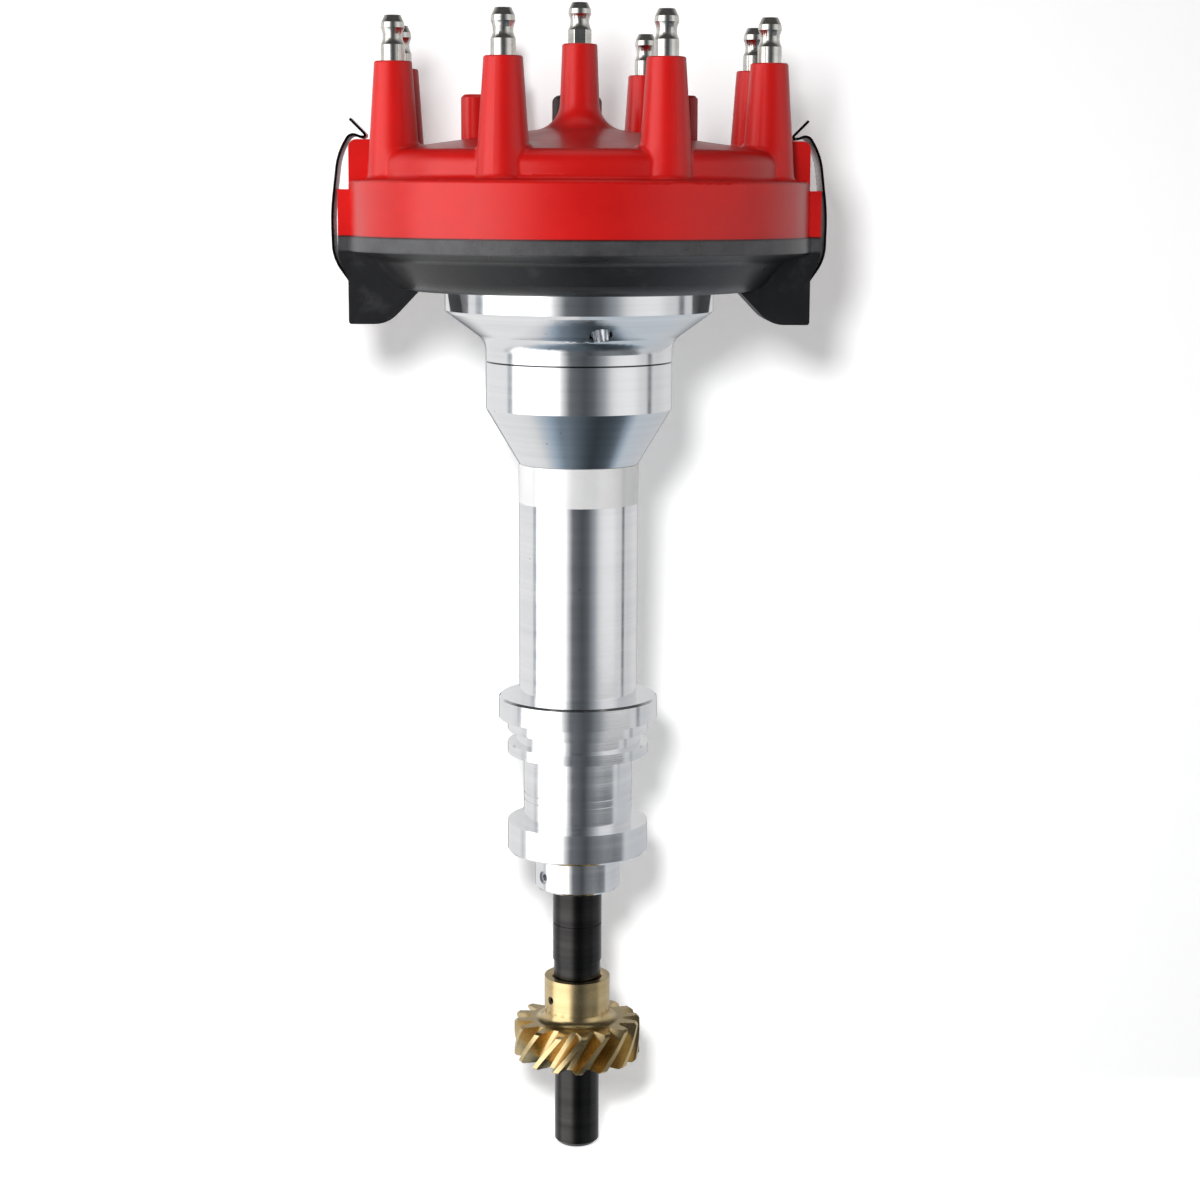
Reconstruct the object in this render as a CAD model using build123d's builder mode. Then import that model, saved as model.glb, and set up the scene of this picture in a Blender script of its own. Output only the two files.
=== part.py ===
from build123d import *
import os
from math import atan, cos, degrees, pi, radians, sin, sqrt, tan

# Ignition distributor for an eight cylinder engine, in millimetres.
# The origin is on the shaft axis, in the seat face that rests on the engine block.
# +Z points up to the cap, and -Y is the front.

os.makedirs("parts", exist_ok=True)

# Fits
running_gap = 0.04  # radial gap of a shaft in its bush
pivot_gap = 0.05  # radial gap of a pin in a lever
screw_gap = 0.1  # radial gap of a screw in a clearance hole
cover_gap = 0.3  # gap between a cover and what it fits over
body_gap = 0.3  # gap between pieces that move past each other
axial_gap = 0.1  # end float between faces that turn on each other

# Housing above the seat face
clamp_ring_radius = 22.3
clamp_ring_height = 6.2
neck_radius = 16.5
neck_height = 65.3
taper_height = 15.3
barrel_radius = 25.65
barrel_height = 18.5
flare_height = 7.5
flare_fillet = 5.0
flange_radius = 36.8
flange_height = 6.4
flange_bevel = 0.9
edge_break = 0.6
spigot_wall = 4.0  # round the bearing
spigot_height = 3.0
turned_line_height = 12.8  # from the barrel's lower edge
turned_line_depth = 0.25
turned_line_width = 0.4

# Housing below the seat face
pilot_radius = 19.8
top_land_height = 3.5
seal_groove_height = 3.8
seal_groove_radius = 17.65
middle_land_height = 2.9
waist_radius = 15.3
waist_height = 19.8
waist_line_rises = (6.3, 8.3)
bottom_land_height = 8.7
boss_radius = 12.0
boss_height = 10.9

# Small holes in the housing, and its label
tapped_hole_radius = 3.1
tapped_hole_depth = 6.0
tapped_hole_angle = -80.3
tapped_hole_inset = 4.15  # out from the barrel
set_screw_radius = 1.85
set_screw_recess = 0.6
set_screw_angle = -145.5
set_screw_rise = 4.1
set_screw_hex = 1.8
set_screw_hex_depth = 1.2
label_height = 10.8
label_thickness = 0.15
label_arc = 310.0

# Shaft and its bearings
shaft_radius = 6.95
shaft_neck_radius = 6.65
shaft_tip_radius = 6.35
shaft_below_boss = 21.6
shaft_neck_length = 5.1
shaft_tip_length = 26.2
shaft_tip_chamfer = 1.1
shaft_line_drop = 11.0  # from the boss down to a turned line
hex_socket_across = 8.0
hex_socket_depth = 20.0
bushing_radius = 9.2
bushing_length = 32.0
bushing_lip = 1.0
housing_bore_radius = 10.5
bearing_radius = 16.0
bearing_bore_radius = 7.5
bearing_width = 9.0
bearing_depth = 19.2  # from the spigot's top down to the bearing's floor
bearing_shoulder_radius = 9.0
bearing_shoulder_height = 3.0
race_wall = 2.3
race_groove_gap = 0.07
ball_radius = 2.38
ball_count = 9
cage_wall = 1.3
cage_height = 6.6
retaining_ring_height = 1.2
retaining_ring_width = 3.2
retaining_ring_groove = 0.9
retaining_ring_opening = 30.0

# Drive gear
hub_radius = 9.35
hub_length = 12.7
hub_fillet = 2.6
gear_length = 11.2
gear_tip_radius = 18.05
gear_root_radius = 13.4
gear_teeth = 16
gear_helix_angle = 35.0
gear_tooth_tip = 1.7
gear_tooth_base = 3.9
gear_tooth_sink = 0.2  # how far a tooth's foot reaches into the rim
gear_tip_bevel = 0.7
bore_chamfer = 0.7
roll_pin_radius = 1.2
roll_pin_wall = 0.4
roll_pin_rise = 6.7  # above the hub's foot
roll_pin_inset = 0.5

# Advance mechanism
journal_radius = 6.5
stub_radius = 4.5
sleeve_wall = 2.96
sleeve_spigot_wall = 2.0
washer_height = 0.8
reluctor_rise = 1.2
reluctor_height = 5.0
reluctor_radius = 19.0
reluctor_hub_radius = 13.0
reluctor_point_width = 3.5
advance_plate_rise = 8.2
advance_plate_height = 2.0
advance_plate_radius = 22.0
pivot_reach = 24.0
pivot_radius = 3.0
pivot_plate_margin = 5.0
weight_washer_height = 0.4
weight_washer_radius = 5.6
weight_clip_height = 0.6
weight_clip_radius = 4.8
weight_height = 4.7
weight_inner_radius = 12.0
weight_outer_radius = 32.0
weight_start_angle = 14.0
weight_end_angle = 112.0
weight_boss_radius = 6.5
cam_length = 19.0
cam_width = 15.0
centre_plate_height = 1.8
centre_plate_radius = 9.5
centre_arm_width = 8.0
centre_screw_radius = 2.4
centre_screw_head = 4.2
centre_screw_head_height = 2.2
centre_screw_length = 7.0
spring_post_angle = -40.0
spring_post_reach = 22.0
spring_post_radius = 1.4
spring_rise = 2.1  # from the centre plate up to the springs' axis
spring_coil_radius = 1.6
spring_wire_radius = 0.3
spring_turns = 8
stop_angle = 140.0
stop_reach = 17.2
stop_pin_radius = 1.8
stop_bushing_wall = 1.2
advance_travel = 12.5

# Rotor
rotor_rise = 4.3
rotor_height = 3.8
rotor_radius = 29.0
rotor_blade_overhang = 3.1
rotor_arm_width = 13.0
rotor_angle = -67.5
rotor_screw_radius = 1.9
rotor_screw_length = 8.0
rotor_screw_head = 3.3
rotor_screw_head_height = 2.0
blade_height = 1.5
blade_width = 8.0
blade_gap = 0.7

# Bowl under the cap
base_radius = 62.5
base_lip_height = 3.8
base_lip_stand = 0.4  # out from the cap's wall
base_wall = 3.0
base_rib_height = 2.0
base_rib_width = 1.6
bowl_height = 10.6
bowl_shelf_inset = 6.2
bowl_shelf_drop = 2.1
bowl_shelf_fillet = 3.0
bowl_foot_inset = 13.2
bowl_foot_fillet = 7.5
base_screw_reach = 30.0
base_screw_count = 4
base_screw_radius = 2.0
base_screw_length = 9.6
base_screw_head = 3.9
base_screw_head_height = 2.3
screw_slot_width = 1.0
screw_slot_depth = 0.9
side_block_width = 19.0
side_pad_stand = 2.5  # out from the cap's wall
side_pad_taper = 5.4
side_pad_bend = 6.0
ear_inset = 0.15  # in from the cap's wall
ear_drop = 9.0
ear_foot_width = 10.6
ear_heel_width = 19.1
ear_fillet = 8.5
ear_slope_top = 3.1  # from the bowl's underside up to the foot of the pad's taper
clip_slot_gap = 0.5
clip_slot_inset = 2.7  # from the clip pin in to the slot's floor
clip_slot_rise = 2.4
clip_pin_radius = 1.25
clip_pin_inset = 2.0
clip_pin_rise = 2.8  # from the bowl's underside up to the pin
clip_pin_length = 17.0
grommet_inset = 8.1  # in from the foot of the bowl's wall
grommet_angle = 130.0
grommet_neck_radius = 2.7
grommet_flange_radius = 4.0
grommet_flange_height = 1.6
grommet_bore_radius = 1.6

# Cap, with heights above its lower edge
cap_wall = 3.3
cap_step_height = 15.0
cap_ledge_width = 5.0
cap_step_fillet = 1.6
cap_edge_round = 1.2
cap_shoulder_height = 22.3
cap_shoulder_round = 4.2
cap_crown_height = 29.4
cap_crown_flare = 7.5
cap_ceiling_height = 20.9
cap_step_wall = 3.2
tower_count = 8
tower_inset = 4.2  # in from the step's wall
tower_first_angle = 22.5
tower_height = 45.4
tower_top_radius = 4.95
tower_base_radius = 7.05
tower_edge_break = 0.3
tower_foot_fillet = 1.5
centre_tower_height = 51.3
centre_tower_top_radius = 4.75
centre_tower_base_radius = 5.6
post_reach = 27.8
post_height = 37.8
post_radius = 4.25
post_chamfer = 0.8
vent_height = 38.8
vent_radius = 7.0
vent_round = 2.0
vent_seat_height = 28.9
vent_seat_margin = 0.5
vent_stem_radius = 3.5
vent_stem_length = 9.0
catch_inset = 0.4  # in from the cap's wall
catch_length = 16.1
catch_width = 15.0
catch_height = 25.7
catch_round = 2.2
side_pad_height = 12.5
button_boss_radius = 6.5
button_boss_drop = 2.7

# Terminals and the carbon button
terminal_base_radius = 3.15
terminal_base_height = 4.2
terminal_neck_radius = 2.55
terminal_neck_height = 6.3
terminal_ball_radius = 3.1
terminal_ball_height = 8.5
terminal_shoulder_radius = 2.95
terminal_shoulder_height = 9.9
terminal_top_radius = 2.1
terminal_height = 11.7
coil_terminal_height = 10.9
coil_hex_height = 3.7
coil_hex_across = 5.6
stem_radius = 2.5
insert_radius = 3.0
insert_drop = 8.7  # below the cap's ceiling
insert_cover = 1.5  # above the cap's ceiling
button_radius = 3.1
button_length = 8.0
button_gap = 0.2
button_spring_length = 5.9
button_spring_turns = 4

# Magnetic pickup
pickup_gap = 0.4
pickup_bracket_height = 1.0
pickup_bracket_width = 28.0
pickup_bracket_length = 19.0
pickup_coil_width = 12.0
pickup_coil_length = 9.0
pickup_coil_height = 5.4
pickup_tip_length = 2.4
pickup_pole_width = 5.0
pickup_pole_height = 2.6
pickup_magnet_length = 6.0
pickup_screw_radius = 1.7
pickup_screw_length = 3.0
pickup_screw_head = 3.1
pickup_screw_head_height = 1.8
pickup_screw_spread = 20.0
pickup_screw_inset = 5.0

# Spring clips
clip_width = 12.5
clip_thickness = 0.7
clip_tab_width = 9.0
clip_tab_length = 5.5
clip_leave_angle = 55.0
clip_pad_gap = 1.4  # between the strip and the side pads
clip_bow_inset = 0.3
clip_bow_rise = 18.0
clip_catch_gap = 2.45  # between the strip and the catch block
clip_shoulder_drop = 4.45
clip_arch_lean = 3.3
clip_arch_rise = 1.1
clip_hook_inset = 2.05  # how far inside the pin the hook rests
clip_hook_length = 0.6
clip_bends = (12.0, 60.0, 18.0, 2.0, 1.5)  # bend radii from the loop up to the hook
clip_fold_radius = 0.55

# Heights that follow from the sizes above
neck_top = clamp_ring_height + neck_height
barrel_bottom = neck_top + taper_height
barrel_top = barrel_bottom + barrel_height
flange_bottom = barrel_top + flare_height
flange_top = flange_bottom + flange_height
spigot_top = flange_top + spigot_height
groove_bottom = -top_land_height - seal_groove_height
waist_top = groove_bottom - middle_land_height
waist_bottom = waist_top - waist_height
land_bottom = waist_bottom - bottom_land_height
boss_bottom = land_bottom - boss_height
shaft_step = boss_bottom - shaft_below_boss
hub_top = shaft_step - shaft_neck_length
gear_top = hub_top - hub_length
gear_bottom = gear_top - gear_length
shaft_bottom = gear_bottom - shaft_tip_length
bearing_bottom = spigot_top - bearing_depth
bearing_top = bearing_bottom + bearing_width
bearing_middle = bearing_bottom + bearing_width / 2
retaining_ring_bottom = bearing_top
retaining_ring_top = retaining_ring_bottom + retaining_ring_height
sleeve_bottom = bearing_top + washer_height + axial_gap
floor_top = flange_top + base_wall
reluctor_bottom = spigot_top + reluctor_rise
advance_plate_bottom = spigot_top + advance_plate_rise
advance_plate_top = advance_plate_bottom + advance_plate_height
cam_bottom = advance_plate_top + axial_gap
weight_bottom = advance_plate_top + weight_washer_height + axial_gap
weight_top = weight_bottom + weight_height
centre_plate_bottom = weight_top + 2 * body_gap
centre_plate_top = centre_plate_bottom + centre_plate_height
spring_axis_height = centre_plate_top + spring_rise
rotor_bottom = centre_plate_top + rotor_rise
rotor_top = rotor_bottom + rotor_height
blade_top = rotor_top + blade_height
lip_bottom = flange_top + bowl_height
cap_bottom = lip_bottom + base_lip_height
cap_step = cap_bottom + cap_step_height
cap_shoulder = cap_bottom + cap_shoulder_height
cap_crown = cap_bottom + cap_crown_height
cap_ceiling = cap_bottom + cap_ceiling_height
tower_top = cap_bottom + tower_height
centre_tower_top = cap_bottom + centre_tower_height
vent_seat = cap_bottom + vent_seat_height
catch_top = cap_bottom + catch_height
button_boss_bottom = cap_ceiling - button_boss_drop
button_bottom = blade_top + button_gap
button_top = button_bottom + button_length
button_spring_top = button_top + button_spring_length
insert_bottom = cap_ceiling - insert_drop
insert_top = cap_ceiling + insert_cover

# Radii and places that follow from the sizes above
spigot_radius = bearing_radius + spigot_wall
tapped_hole_reach = barrel_radius + tapped_hole_inset
set_screw_length = boss_radius - bushing_radius - set_screw_recess
base_lip_radius = base_radius + base_lip_stand
bowl_shelf_radius = base_radius - bowl_shelf_inset
bowl_foot_radius = base_radius - bowl_foot_inset
side_pad_reach = base_radius + side_pad_stand
ear_reach = base_radius - ear_inset
ear_corner = ear_reach - ear_foot_width
ear_heel = ear_reach - ear_heel_width
grommet_reach = bowl_foot_radius - grommet_inset
cap_step_radius = base_radius - cap_ledge_width
cap_inner_radius = cap_step_radius - cap_step_wall
tower_reach = cap_step_radius - tower_inset
catch_reach = base_radius - catch_inset
catch_heel = catch_reach - catch_length
blade_reach = tower_reach - insert_radius - blade_gap
rotor_arm_reach = blade_reach - rotor_blade_overhang
sleeve_bore_radius = journal_radius + running_gap
sleeve_radius = sleeve_bore_radius + sleeve_wall
sleeve_spigot_radius = sleeve_bore_radius + sleeve_spigot_wall
ball_path_radius = (bearing_radius + bearing_bore_radius) / 2
ring_groove_radius = bearing_radius + retaining_ring_groove + screw_gap
cap_bore_radius = base_radius - cap_wall
clip_pin_reach = ear_reach - clip_pin_inset
clip_pin_height = flange_top + clip_pin_rise
pickup_tip = reluctor_radius + pickup_gap
pickup_coil_start = pickup_tip + pickup_tip_length
pickup_magnet_start = pickup_coil_start + pickup_coil_length
pickup_middle = floor_top + pickup_bracket_height + pickup_coil_height / 2
pole_rise = pickup_middle - pickup_pole_height / 2
pickup_screw_row = pickup_tip + pickup_bracket_length - pickup_screw_inset
pickup_screw_places = [(side * pickup_screw_spread / 2, pickup_screw_row) for side in (1, -1)]
bowl_shelf_height = lip_bottom - bowl_shelf_drop


def ring(inner, outer, low, high):
    """A ring's section in the XZ plane, ready to be revolved."""
    with Locations(((inner + outer) / 2, (low + high) / 2)):
        Rectangle(outer - inner, high - low)


def rod(radius, low, high):
    """A rod's section in the XZ plane, ready to be revolved."""
    ring(0, radius, low, high)


def turned_line(radius, height):
    """Section of a thin line turned into a face of this radius."""
    ring(radius - turned_line_depth, radius + turned_line_width, height, height + turned_line_width)


def polar(radius, angle, height=0.0):
    """A point at this radius and angle round the shaft."""
    return Vector(radius * cos(radians(angle)), radius * sin(radians(angle)), height)


def round_edges(part, radius, height):
    """The circular edges of this radius round the shaft at this height."""
    return part.edges().filter_by(GeomType.CIRCLE).filter_by(
        lambda edge: abs(edge.radius - radius) < 0.01 and abs(edge.center().Z - height) < 0.01
    )


def save(part, name):
    """Labels a finished piece and writes its file."""
    part.label = name
    export_step(part, "parts/" + name + ".step")


# Housing, turned from bar
with BuildPart() as housing:
    with BuildSketch(Plane.XZ):
        with BuildLine():
            Polyline(
                (0, boss_bottom),
                (boss_radius - edge_break, boss_bottom),
                (boss_radius, boss_bottom + edge_break),
                (boss_radius, land_bottom),
                (pilot_radius - edge_break, land_bottom),
                (pilot_radius, land_bottom + edge_break),
                (pilot_radius, waist_bottom),
                (waist_radius, waist_bottom),
                (waist_radius, waist_top),
                (pilot_radius, waist_top),
                (pilot_radius, groove_bottom),
                (seal_groove_radius, groove_bottom),
                (seal_groove_radius, -top_land_height),
                (pilot_radius, -top_land_height),
                (pilot_radius, 0),
                (clamp_ring_radius, 0),
                (clamp_ring_radius, clamp_ring_height - edge_break),
                (clamp_ring_radius - edge_break, clamp_ring_height),
                (neck_radius, clamp_ring_height),
                (neck_radius, neck_top),
                (barrel_radius, barrel_bottom),
                (barrel_radius, barrel_top),
                (flange_radius - flange_bevel, flange_bottom),
                (flange_radius, flange_bottom + flange_bevel),
                (flange_radius, flange_top),
                (spigot_radius, flange_top),
                (spigot_radius, spigot_top),
                (0, spigot_top),
                close=True,
            )
        make_face()
    revolve(axis=Axis.Z)
    fillet(round_edges(housing, barrel_radius, barrel_top), flare_fillet)
    # Bore, bushing seat, bearing pocket and the groove of its retaining ring
    with BuildSketch(Plane.XZ):
        rod(shaft_radius + body_gap, boss_bottom, boss_bottom + bushing_length)
        rod(bushing_radius, boss_bottom + bushing_lip, boss_bottom + bushing_length)
        rod(housing_bore_radius, boss_bottom + bushing_length, bearing_bottom)
        rod(bearing_radius, bearing_bottom, spigot_top)
        rod(ring_groove_radius, retaining_ring_bottom, retaining_ring_top + screw_gap)
    revolve(axis=Axis.Z, mode=Mode.SUBTRACT)
    # Thin turned lines on the barrel and on the waist
    with BuildSketch(Plane.XZ):
        turned_line(barrel_radius, barrel_bottom + turned_line_height)
        for rise in waist_line_rises:
            turned_line(waist_radius, waist_bottom + rise)
    revolve(axis=Axis.Z, mode=Mode.SUBTRACT)
    # Tapped hole, square to the flare
    flare_slope = atan(flare_height / (flange_radius - flange_bevel - barrel_radius))
    hole_mouth = polar(
        tapped_hole_reach,
        tapped_hole_angle,
        barrel_top + (tapped_hole_reach - barrel_radius) * tan(flare_slope),
    )
    hole_outward = polar(sin(flare_slope), tapped_hole_angle, -cos(flare_slope))
    with BuildSketch(Plane(origin=hole_mouth + hole_outward * 2, z_dir=hole_outward)):
        Circle(tapped_hole_radius)
    extrude(amount=-tapped_hole_depth - 2, mode=Mode.SUBTRACT)
    # Cross hole of the set screw
    set_screw_seat = polar(bushing_radius, set_screw_angle, boss_bottom + set_screw_rise)
    with BuildSketch(Plane(origin=set_screw_seat, z_dir=polar(1, set_screw_angle))):
        Circle(set_screw_radius)
    extrude(amount=boss_radius, mode=Mode.SUBTRACT)
    # Holes of the screws that hold the bowl
    with BuildSketch(Plane.XY.offset(flange_top)):
        with PolarLocations(base_screw_reach, base_screw_count, start_angle=45):
            Circle(base_screw_radius)
    extrude(amount=base_wall - base_screw_length, mode=Mode.SUBTRACT)
save(housing.part, "housing")

# Blank label round the neck, open at the back
label_start = -90 - label_arc / 2
with BuildPart() as label:
    with BuildSketch(Plane(origin=(0, 0, 0), x_dir=polar(1, label_start), z_dir=polar(1, label_start - 90))):
        ring(neck_radius, neck_radius + label_thickness, neck_top - label_height, neck_top)
    revolve(axis=Axis.Z, revolution_arc=label_arc)
save(label.part, "label")

# Set screw that locks the lower bushing
with BuildPart() as bushing_set_screw:
    with BuildSketch(Plane(origin=set_screw_seat, z_dir=polar(1, set_screw_angle))):
        Circle(set_screw_radius)
    extrude(amount=set_screw_length)
    with BuildSketch(
        Plane(
            origin=set_screw_seat + polar(set_screw_length, set_screw_angle),
            z_dir=polar(1, set_screw_angle),
        )
    ):
        RegularPolygon(set_screw_hex / 2, 6, major_radius=False)
    extrude(amount=-set_screw_hex_depth, mode=Mode.SUBTRACT)
save(bushing_set_screw.part, "bushing_set_screw")

# Plain bushing that guides the shaft at the bottom
with BuildPart() as lower_bushing:
    with BuildSketch(Plane.XZ):
        ring(
            shaft_radius + running_gap,
            bushing_radius,
            boss_bottom + bushing_lip,
            boss_bottom + bushing_length,
        )
    revolve(axis=Axis.Z)
save(lower_bushing.part, "lower_bushing")

# Upper ball bearing
with BuildPart() as bearing_outer_race:
    with BuildSketch(Plane.XZ):
        ring(bearing_radius - race_wall, bearing_radius, bearing_bottom, bearing_top)
        with Locations((ball_path_radius, bearing_middle)):
            Circle(ball_radius + race_groove_gap, mode=Mode.SUBTRACT)
    revolve(axis=Axis.Z)
save(bearing_outer_race.part, "bearing_outer_race")

with BuildPart() as bearing_inner_race:
    with BuildSketch(Plane.XZ):
        ring(bearing_bore_radius, bearing_bore_radius + race_wall, bearing_bottom, bearing_top)
        with Locations((ball_path_radius, bearing_middle)):
            Circle(ball_radius + race_groove_gap, mode=Mode.SUBTRACT)
    revolve(axis=Axis.Z)
save(bearing_inner_race.part, "bearing_inner_race")

with BuildPart() as bearing_balls:
    with Locations((0, 0, bearing_middle)):
        with PolarLocations(ball_path_radius, ball_count):
            Sphere(ball_radius)
save(bearing_balls.part, "bearing_balls")

with BuildPart() as bearing_cage:
    with BuildSketch(Plane.XZ):
        ring(
            ball_path_radius - cage_wall / 2,
            ball_path_radius + cage_wall / 2,
            bearing_middle - cage_height / 2,
            bearing_middle + cage_height / 2,
        )
    revolve(axis=Axis.Z)
    for number in range(ball_count):
        with BuildSketch(Plane(origin=(0, 0, bearing_middle), z_dir=polar(1, 360 * number / ball_count))):
            Circle(ball_radius + screw_gap)
        extrude(amount=bearing_radius, mode=Mode.SUBTRACT)
save(bearing_cage.part, "bearing_cage")

with BuildPart() as bearing_retaining_ring:
    ring_start = retaining_ring_opening / 2
    with BuildSketch(Plane(origin=(0, 0, 0), x_dir=polar(1, ring_start), z_dir=polar(1, ring_start - 90))):
        ring(
            bearing_radius + retaining_ring_groove - retaining_ring_width,
            bearing_radius + retaining_ring_groove,
            retaining_ring_bottom,
            retaining_ring_top,
        )
    revolve(axis=Axis.Z, revolution_arc=360 - retaining_ring_opening)
save(bearing_retaining_ring.part, "bearing_retaining_ring")

# Main shaft
roll_pin_height = gear_top + roll_pin_rise
roll_pin_axis = polar(1, set_screw_angle)
with BuildPart() as main_shaft:
    with BuildSketch(Plane.XZ):
        rod(shaft_tip_radius, shaft_bottom, gear_bottom)
        rod(shaft_neck_radius, gear_bottom, shaft_step)
        rod(shaft_radius, shaft_step, bearing_bottom)
        rod(bearing_shoulder_radius, bearing_bottom - bearing_shoulder_height, bearing_bottom)
        rod(bearing_bore_radius, bearing_bottom, bearing_top)
        rod(journal_radius, bearing_top, cam_bottom)
        rod(stub_radius, cam_bottom, centre_plate_top)
    revolve(axis=Axis.Z)
    chamfer(round_edges(main_shaft, shaft_tip_radius, shaft_bottom), shaft_tip_chamfer)
    with BuildSketch(Plane.XZ):
        turned_line(shaft_radius, boss_bottom - shaft_line_drop)
    revolve(axis=Axis.Z, mode=Mode.SUBTRACT)
    # Hexagonal socket that drives the oil pump
    with BuildSketch(Plane.XY.offset(shaft_bottom)):
        RegularPolygon(hex_socket_across / 2, 6, major_radius=False)
    extrude(amount=hex_socket_depth, mode=Mode.SUBTRACT)
    # Cross hole of the gear's roll pin, and the thread of the top screw
    with BuildSketch(Plane(origin=(0, 0, roll_pin_height), z_dir=roll_pin_axis)):
        Circle(roll_pin_radius)
    extrude(amount=hub_radius, both=True, mode=Mode.SUBTRACT)
    with BuildSketch(Plane.XY.offset(centre_plate_top)):
        Circle(centre_screw_radius)
    extrude(amount=-centre_screw_length, mode=Mode.SUBTRACT)
save(main_shaft.part, "main_shaft")

# Helical drive gear with its hub
gear_pitch_radius = (gear_tip_radius + gear_root_radius) / 2
gear_twist = degrees(gear_length * tan(radians(gear_helix_angle)) / gear_pitch_radius)
with BuildSketch() as gear_tooth:
    with BuildLine():
        root_side = sqrt(gear_root_radius**2 - (gear_tooth_base / 2) ** 2) - gear_tooth_sink
        tip_side = sqrt(gear_tip_radius**2 - (gear_tooth_tip / 2) ** 2)
        Line((root_side, -gear_tooth_base / 2), (tip_side, -gear_tooth_tip / 2))
        ThreePointArc((tip_side, -gear_tooth_tip / 2), (gear_tip_radius, 0), (tip_side, gear_tooth_tip / 2))
        Line((tip_side, gear_tooth_tip / 2), (root_side, gear_tooth_base / 2))
        Line((root_side, gear_tooth_base / 2), (root_side, -gear_tooth_base / 2))
    make_face()
with BuildSketch(Plane.XY.offset(gear_bottom)) as gear_section:
    Circle(gear_root_radius)
    with PolarLocations(0, gear_teeth):
        add(gear_tooth.sketch)
with BuildPart() as drive_gear:
    add(
        Solid.extrude_linear_with_rotation(
            gear_section.sketch.faces()[0],
            center=(0, 0, gear_bottom),
            normal=(0, 0, gear_length),
            angle=gear_twist,
        )
    )
    # Tooth ends are bevelled by a turned outline
    with BuildSketch(Plane.XZ):
        with BuildLine():
            Polyline(
                (0, gear_bottom),
                (gear_tip_radius - gear_tip_bevel, gear_bottom),
                (gear_tip_radius + 0.1, gear_bottom + gear_tip_bevel),
                (gear_tip_radius + 0.1, gear_top - gear_tip_bevel),
                (gear_tip_radius - gear_tip_bevel, gear_top),
                (0, gear_top),
                close=True,
            )
        make_face()
    revolve(axis=Axis.Z, mode=Mode.INTERSECT)
    with BuildSketch(Plane.XZ):
        with BuildLine():
            Line((0, gear_top), (hub_radius + hub_fillet, gear_top))
            RadiusArc((hub_radius + hub_fillet, gear_top), (hub_radius, gear_top + hub_fillet), hub_fillet)
            Polyline((hub_radius, gear_top + hub_fillet), (hub_radius, hub_top), (0, hub_top), (0, gear_top))
        make_face()
    revolve(axis=Axis.Z)
    with BuildSketch(Plane.XZ):
        rod(shaft_neck_radius, gear_bottom, hub_top)
    revolve(axis=Axis.Z, mode=Mode.SUBTRACT)
    chamfer(round_edges(drive_gear, shaft_neck_radius, hub_top), bore_chamfer)
    with BuildSketch(Plane(origin=(0, 0, roll_pin_height), z_dir=roll_pin_axis)):
        Circle(roll_pin_radius)
    extrude(amount=hub_radius + 1, both=True, mode=Mode.SUBTRACT)
save(drive_gear.part, "drive_gear")

with BuildPart() as gear_roll_pin:
    with BuildSketch(Plane(origin=(0, 0, roll_pin_height), z_dir=roll_pin_axis)):
        Circle(roll_pin_radius)
        Circle(roll_pin_radius - roll_pin_wall, mode=Mode.SUBTRACT)
    extrude(amount=hub_radius - roll_pin_inset, both=True)
save(gear_roll_pin.part, "gear_roll_pin")

# Thrust washer between the bearing and the advance sleeve
with BuildPart() as thrust_washer:
    with BuildSketch(Plane.XZ):
        ring(
            journal_radius + screw_gap,
            bearing_bore_radius + race_wall,
            bearing_top,
            bearing_top + washer_height,
        )
    revolve(axis=Axis.Z)
save(thrust_washer.part, "thrust_washer")

# Sleeve that turns on the shaft and carries the reluctor and the advance plate
with BuildPart() as advance_sleeve:
    with BuildSketch(Plane.XZ):
        ring(sleeve_bore_radius, sleeve_radius, sleeve_bottom, advance_plate_bottom)
        ring(sleeve_bore_radius, sleeve_spigot_radius, advance_plate_bottom, advance_plate_top)
    revolve(axis=Axis.Z)
save(advance_sleeve.part, "advance_sleeve")

with BuildPart() as reluctor:
    with BuildSketch(Plane.XY.offset(reluctor_bottom)):
        Circle(reluctor_hub_radius)
        with PolarLocations(reluctor_radius / 2, tower_count, start_angle=tower_first_angle):
            Rectangle(reluctor_radius, reluctor_point_width)
        Circle(sleeve_radius, mode=Mode.SUBTRACT)
    extrude(amount=reluctor_height)
save(reluctor.part, "reluctor")

with BuildPart() as advance_plate:
    with BuildSketch(Plane.XY.offset(advance_plate_bottom)):
        Circle(advance_plate_radius)
        SlotOverall(
            2 * (pivot_reach + pivot_radius + pivot_plate_margin),
            2 * (pivot_radius + pivot_plate_margin),
        )
        Circle(sleeve_spigot_radius, mode=Mode.SUBTRACT)
        with PolarLocations(pivot_reach, 2):
            Circle(pivot_radius - 0.5, mode=Mode.SUBTRACT)
        # Curved slot that the stop bushing runs in
        stop_path = CenterArc(
            (0, 0),
            stop_reach,
            stop_angle - advance_travel - 1,
            advance_travel + 2,
            mode=Mode.PRIVATE,
        )
        SlotArc(stop_path, 2 * (stop_pin_radius + stop_bushing_wall + screw_gap), mode=Mode.SUBTRACT)
    extrude(amount=advance_plate_height)
save(advance_plate.part, "advance_plate")

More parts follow.
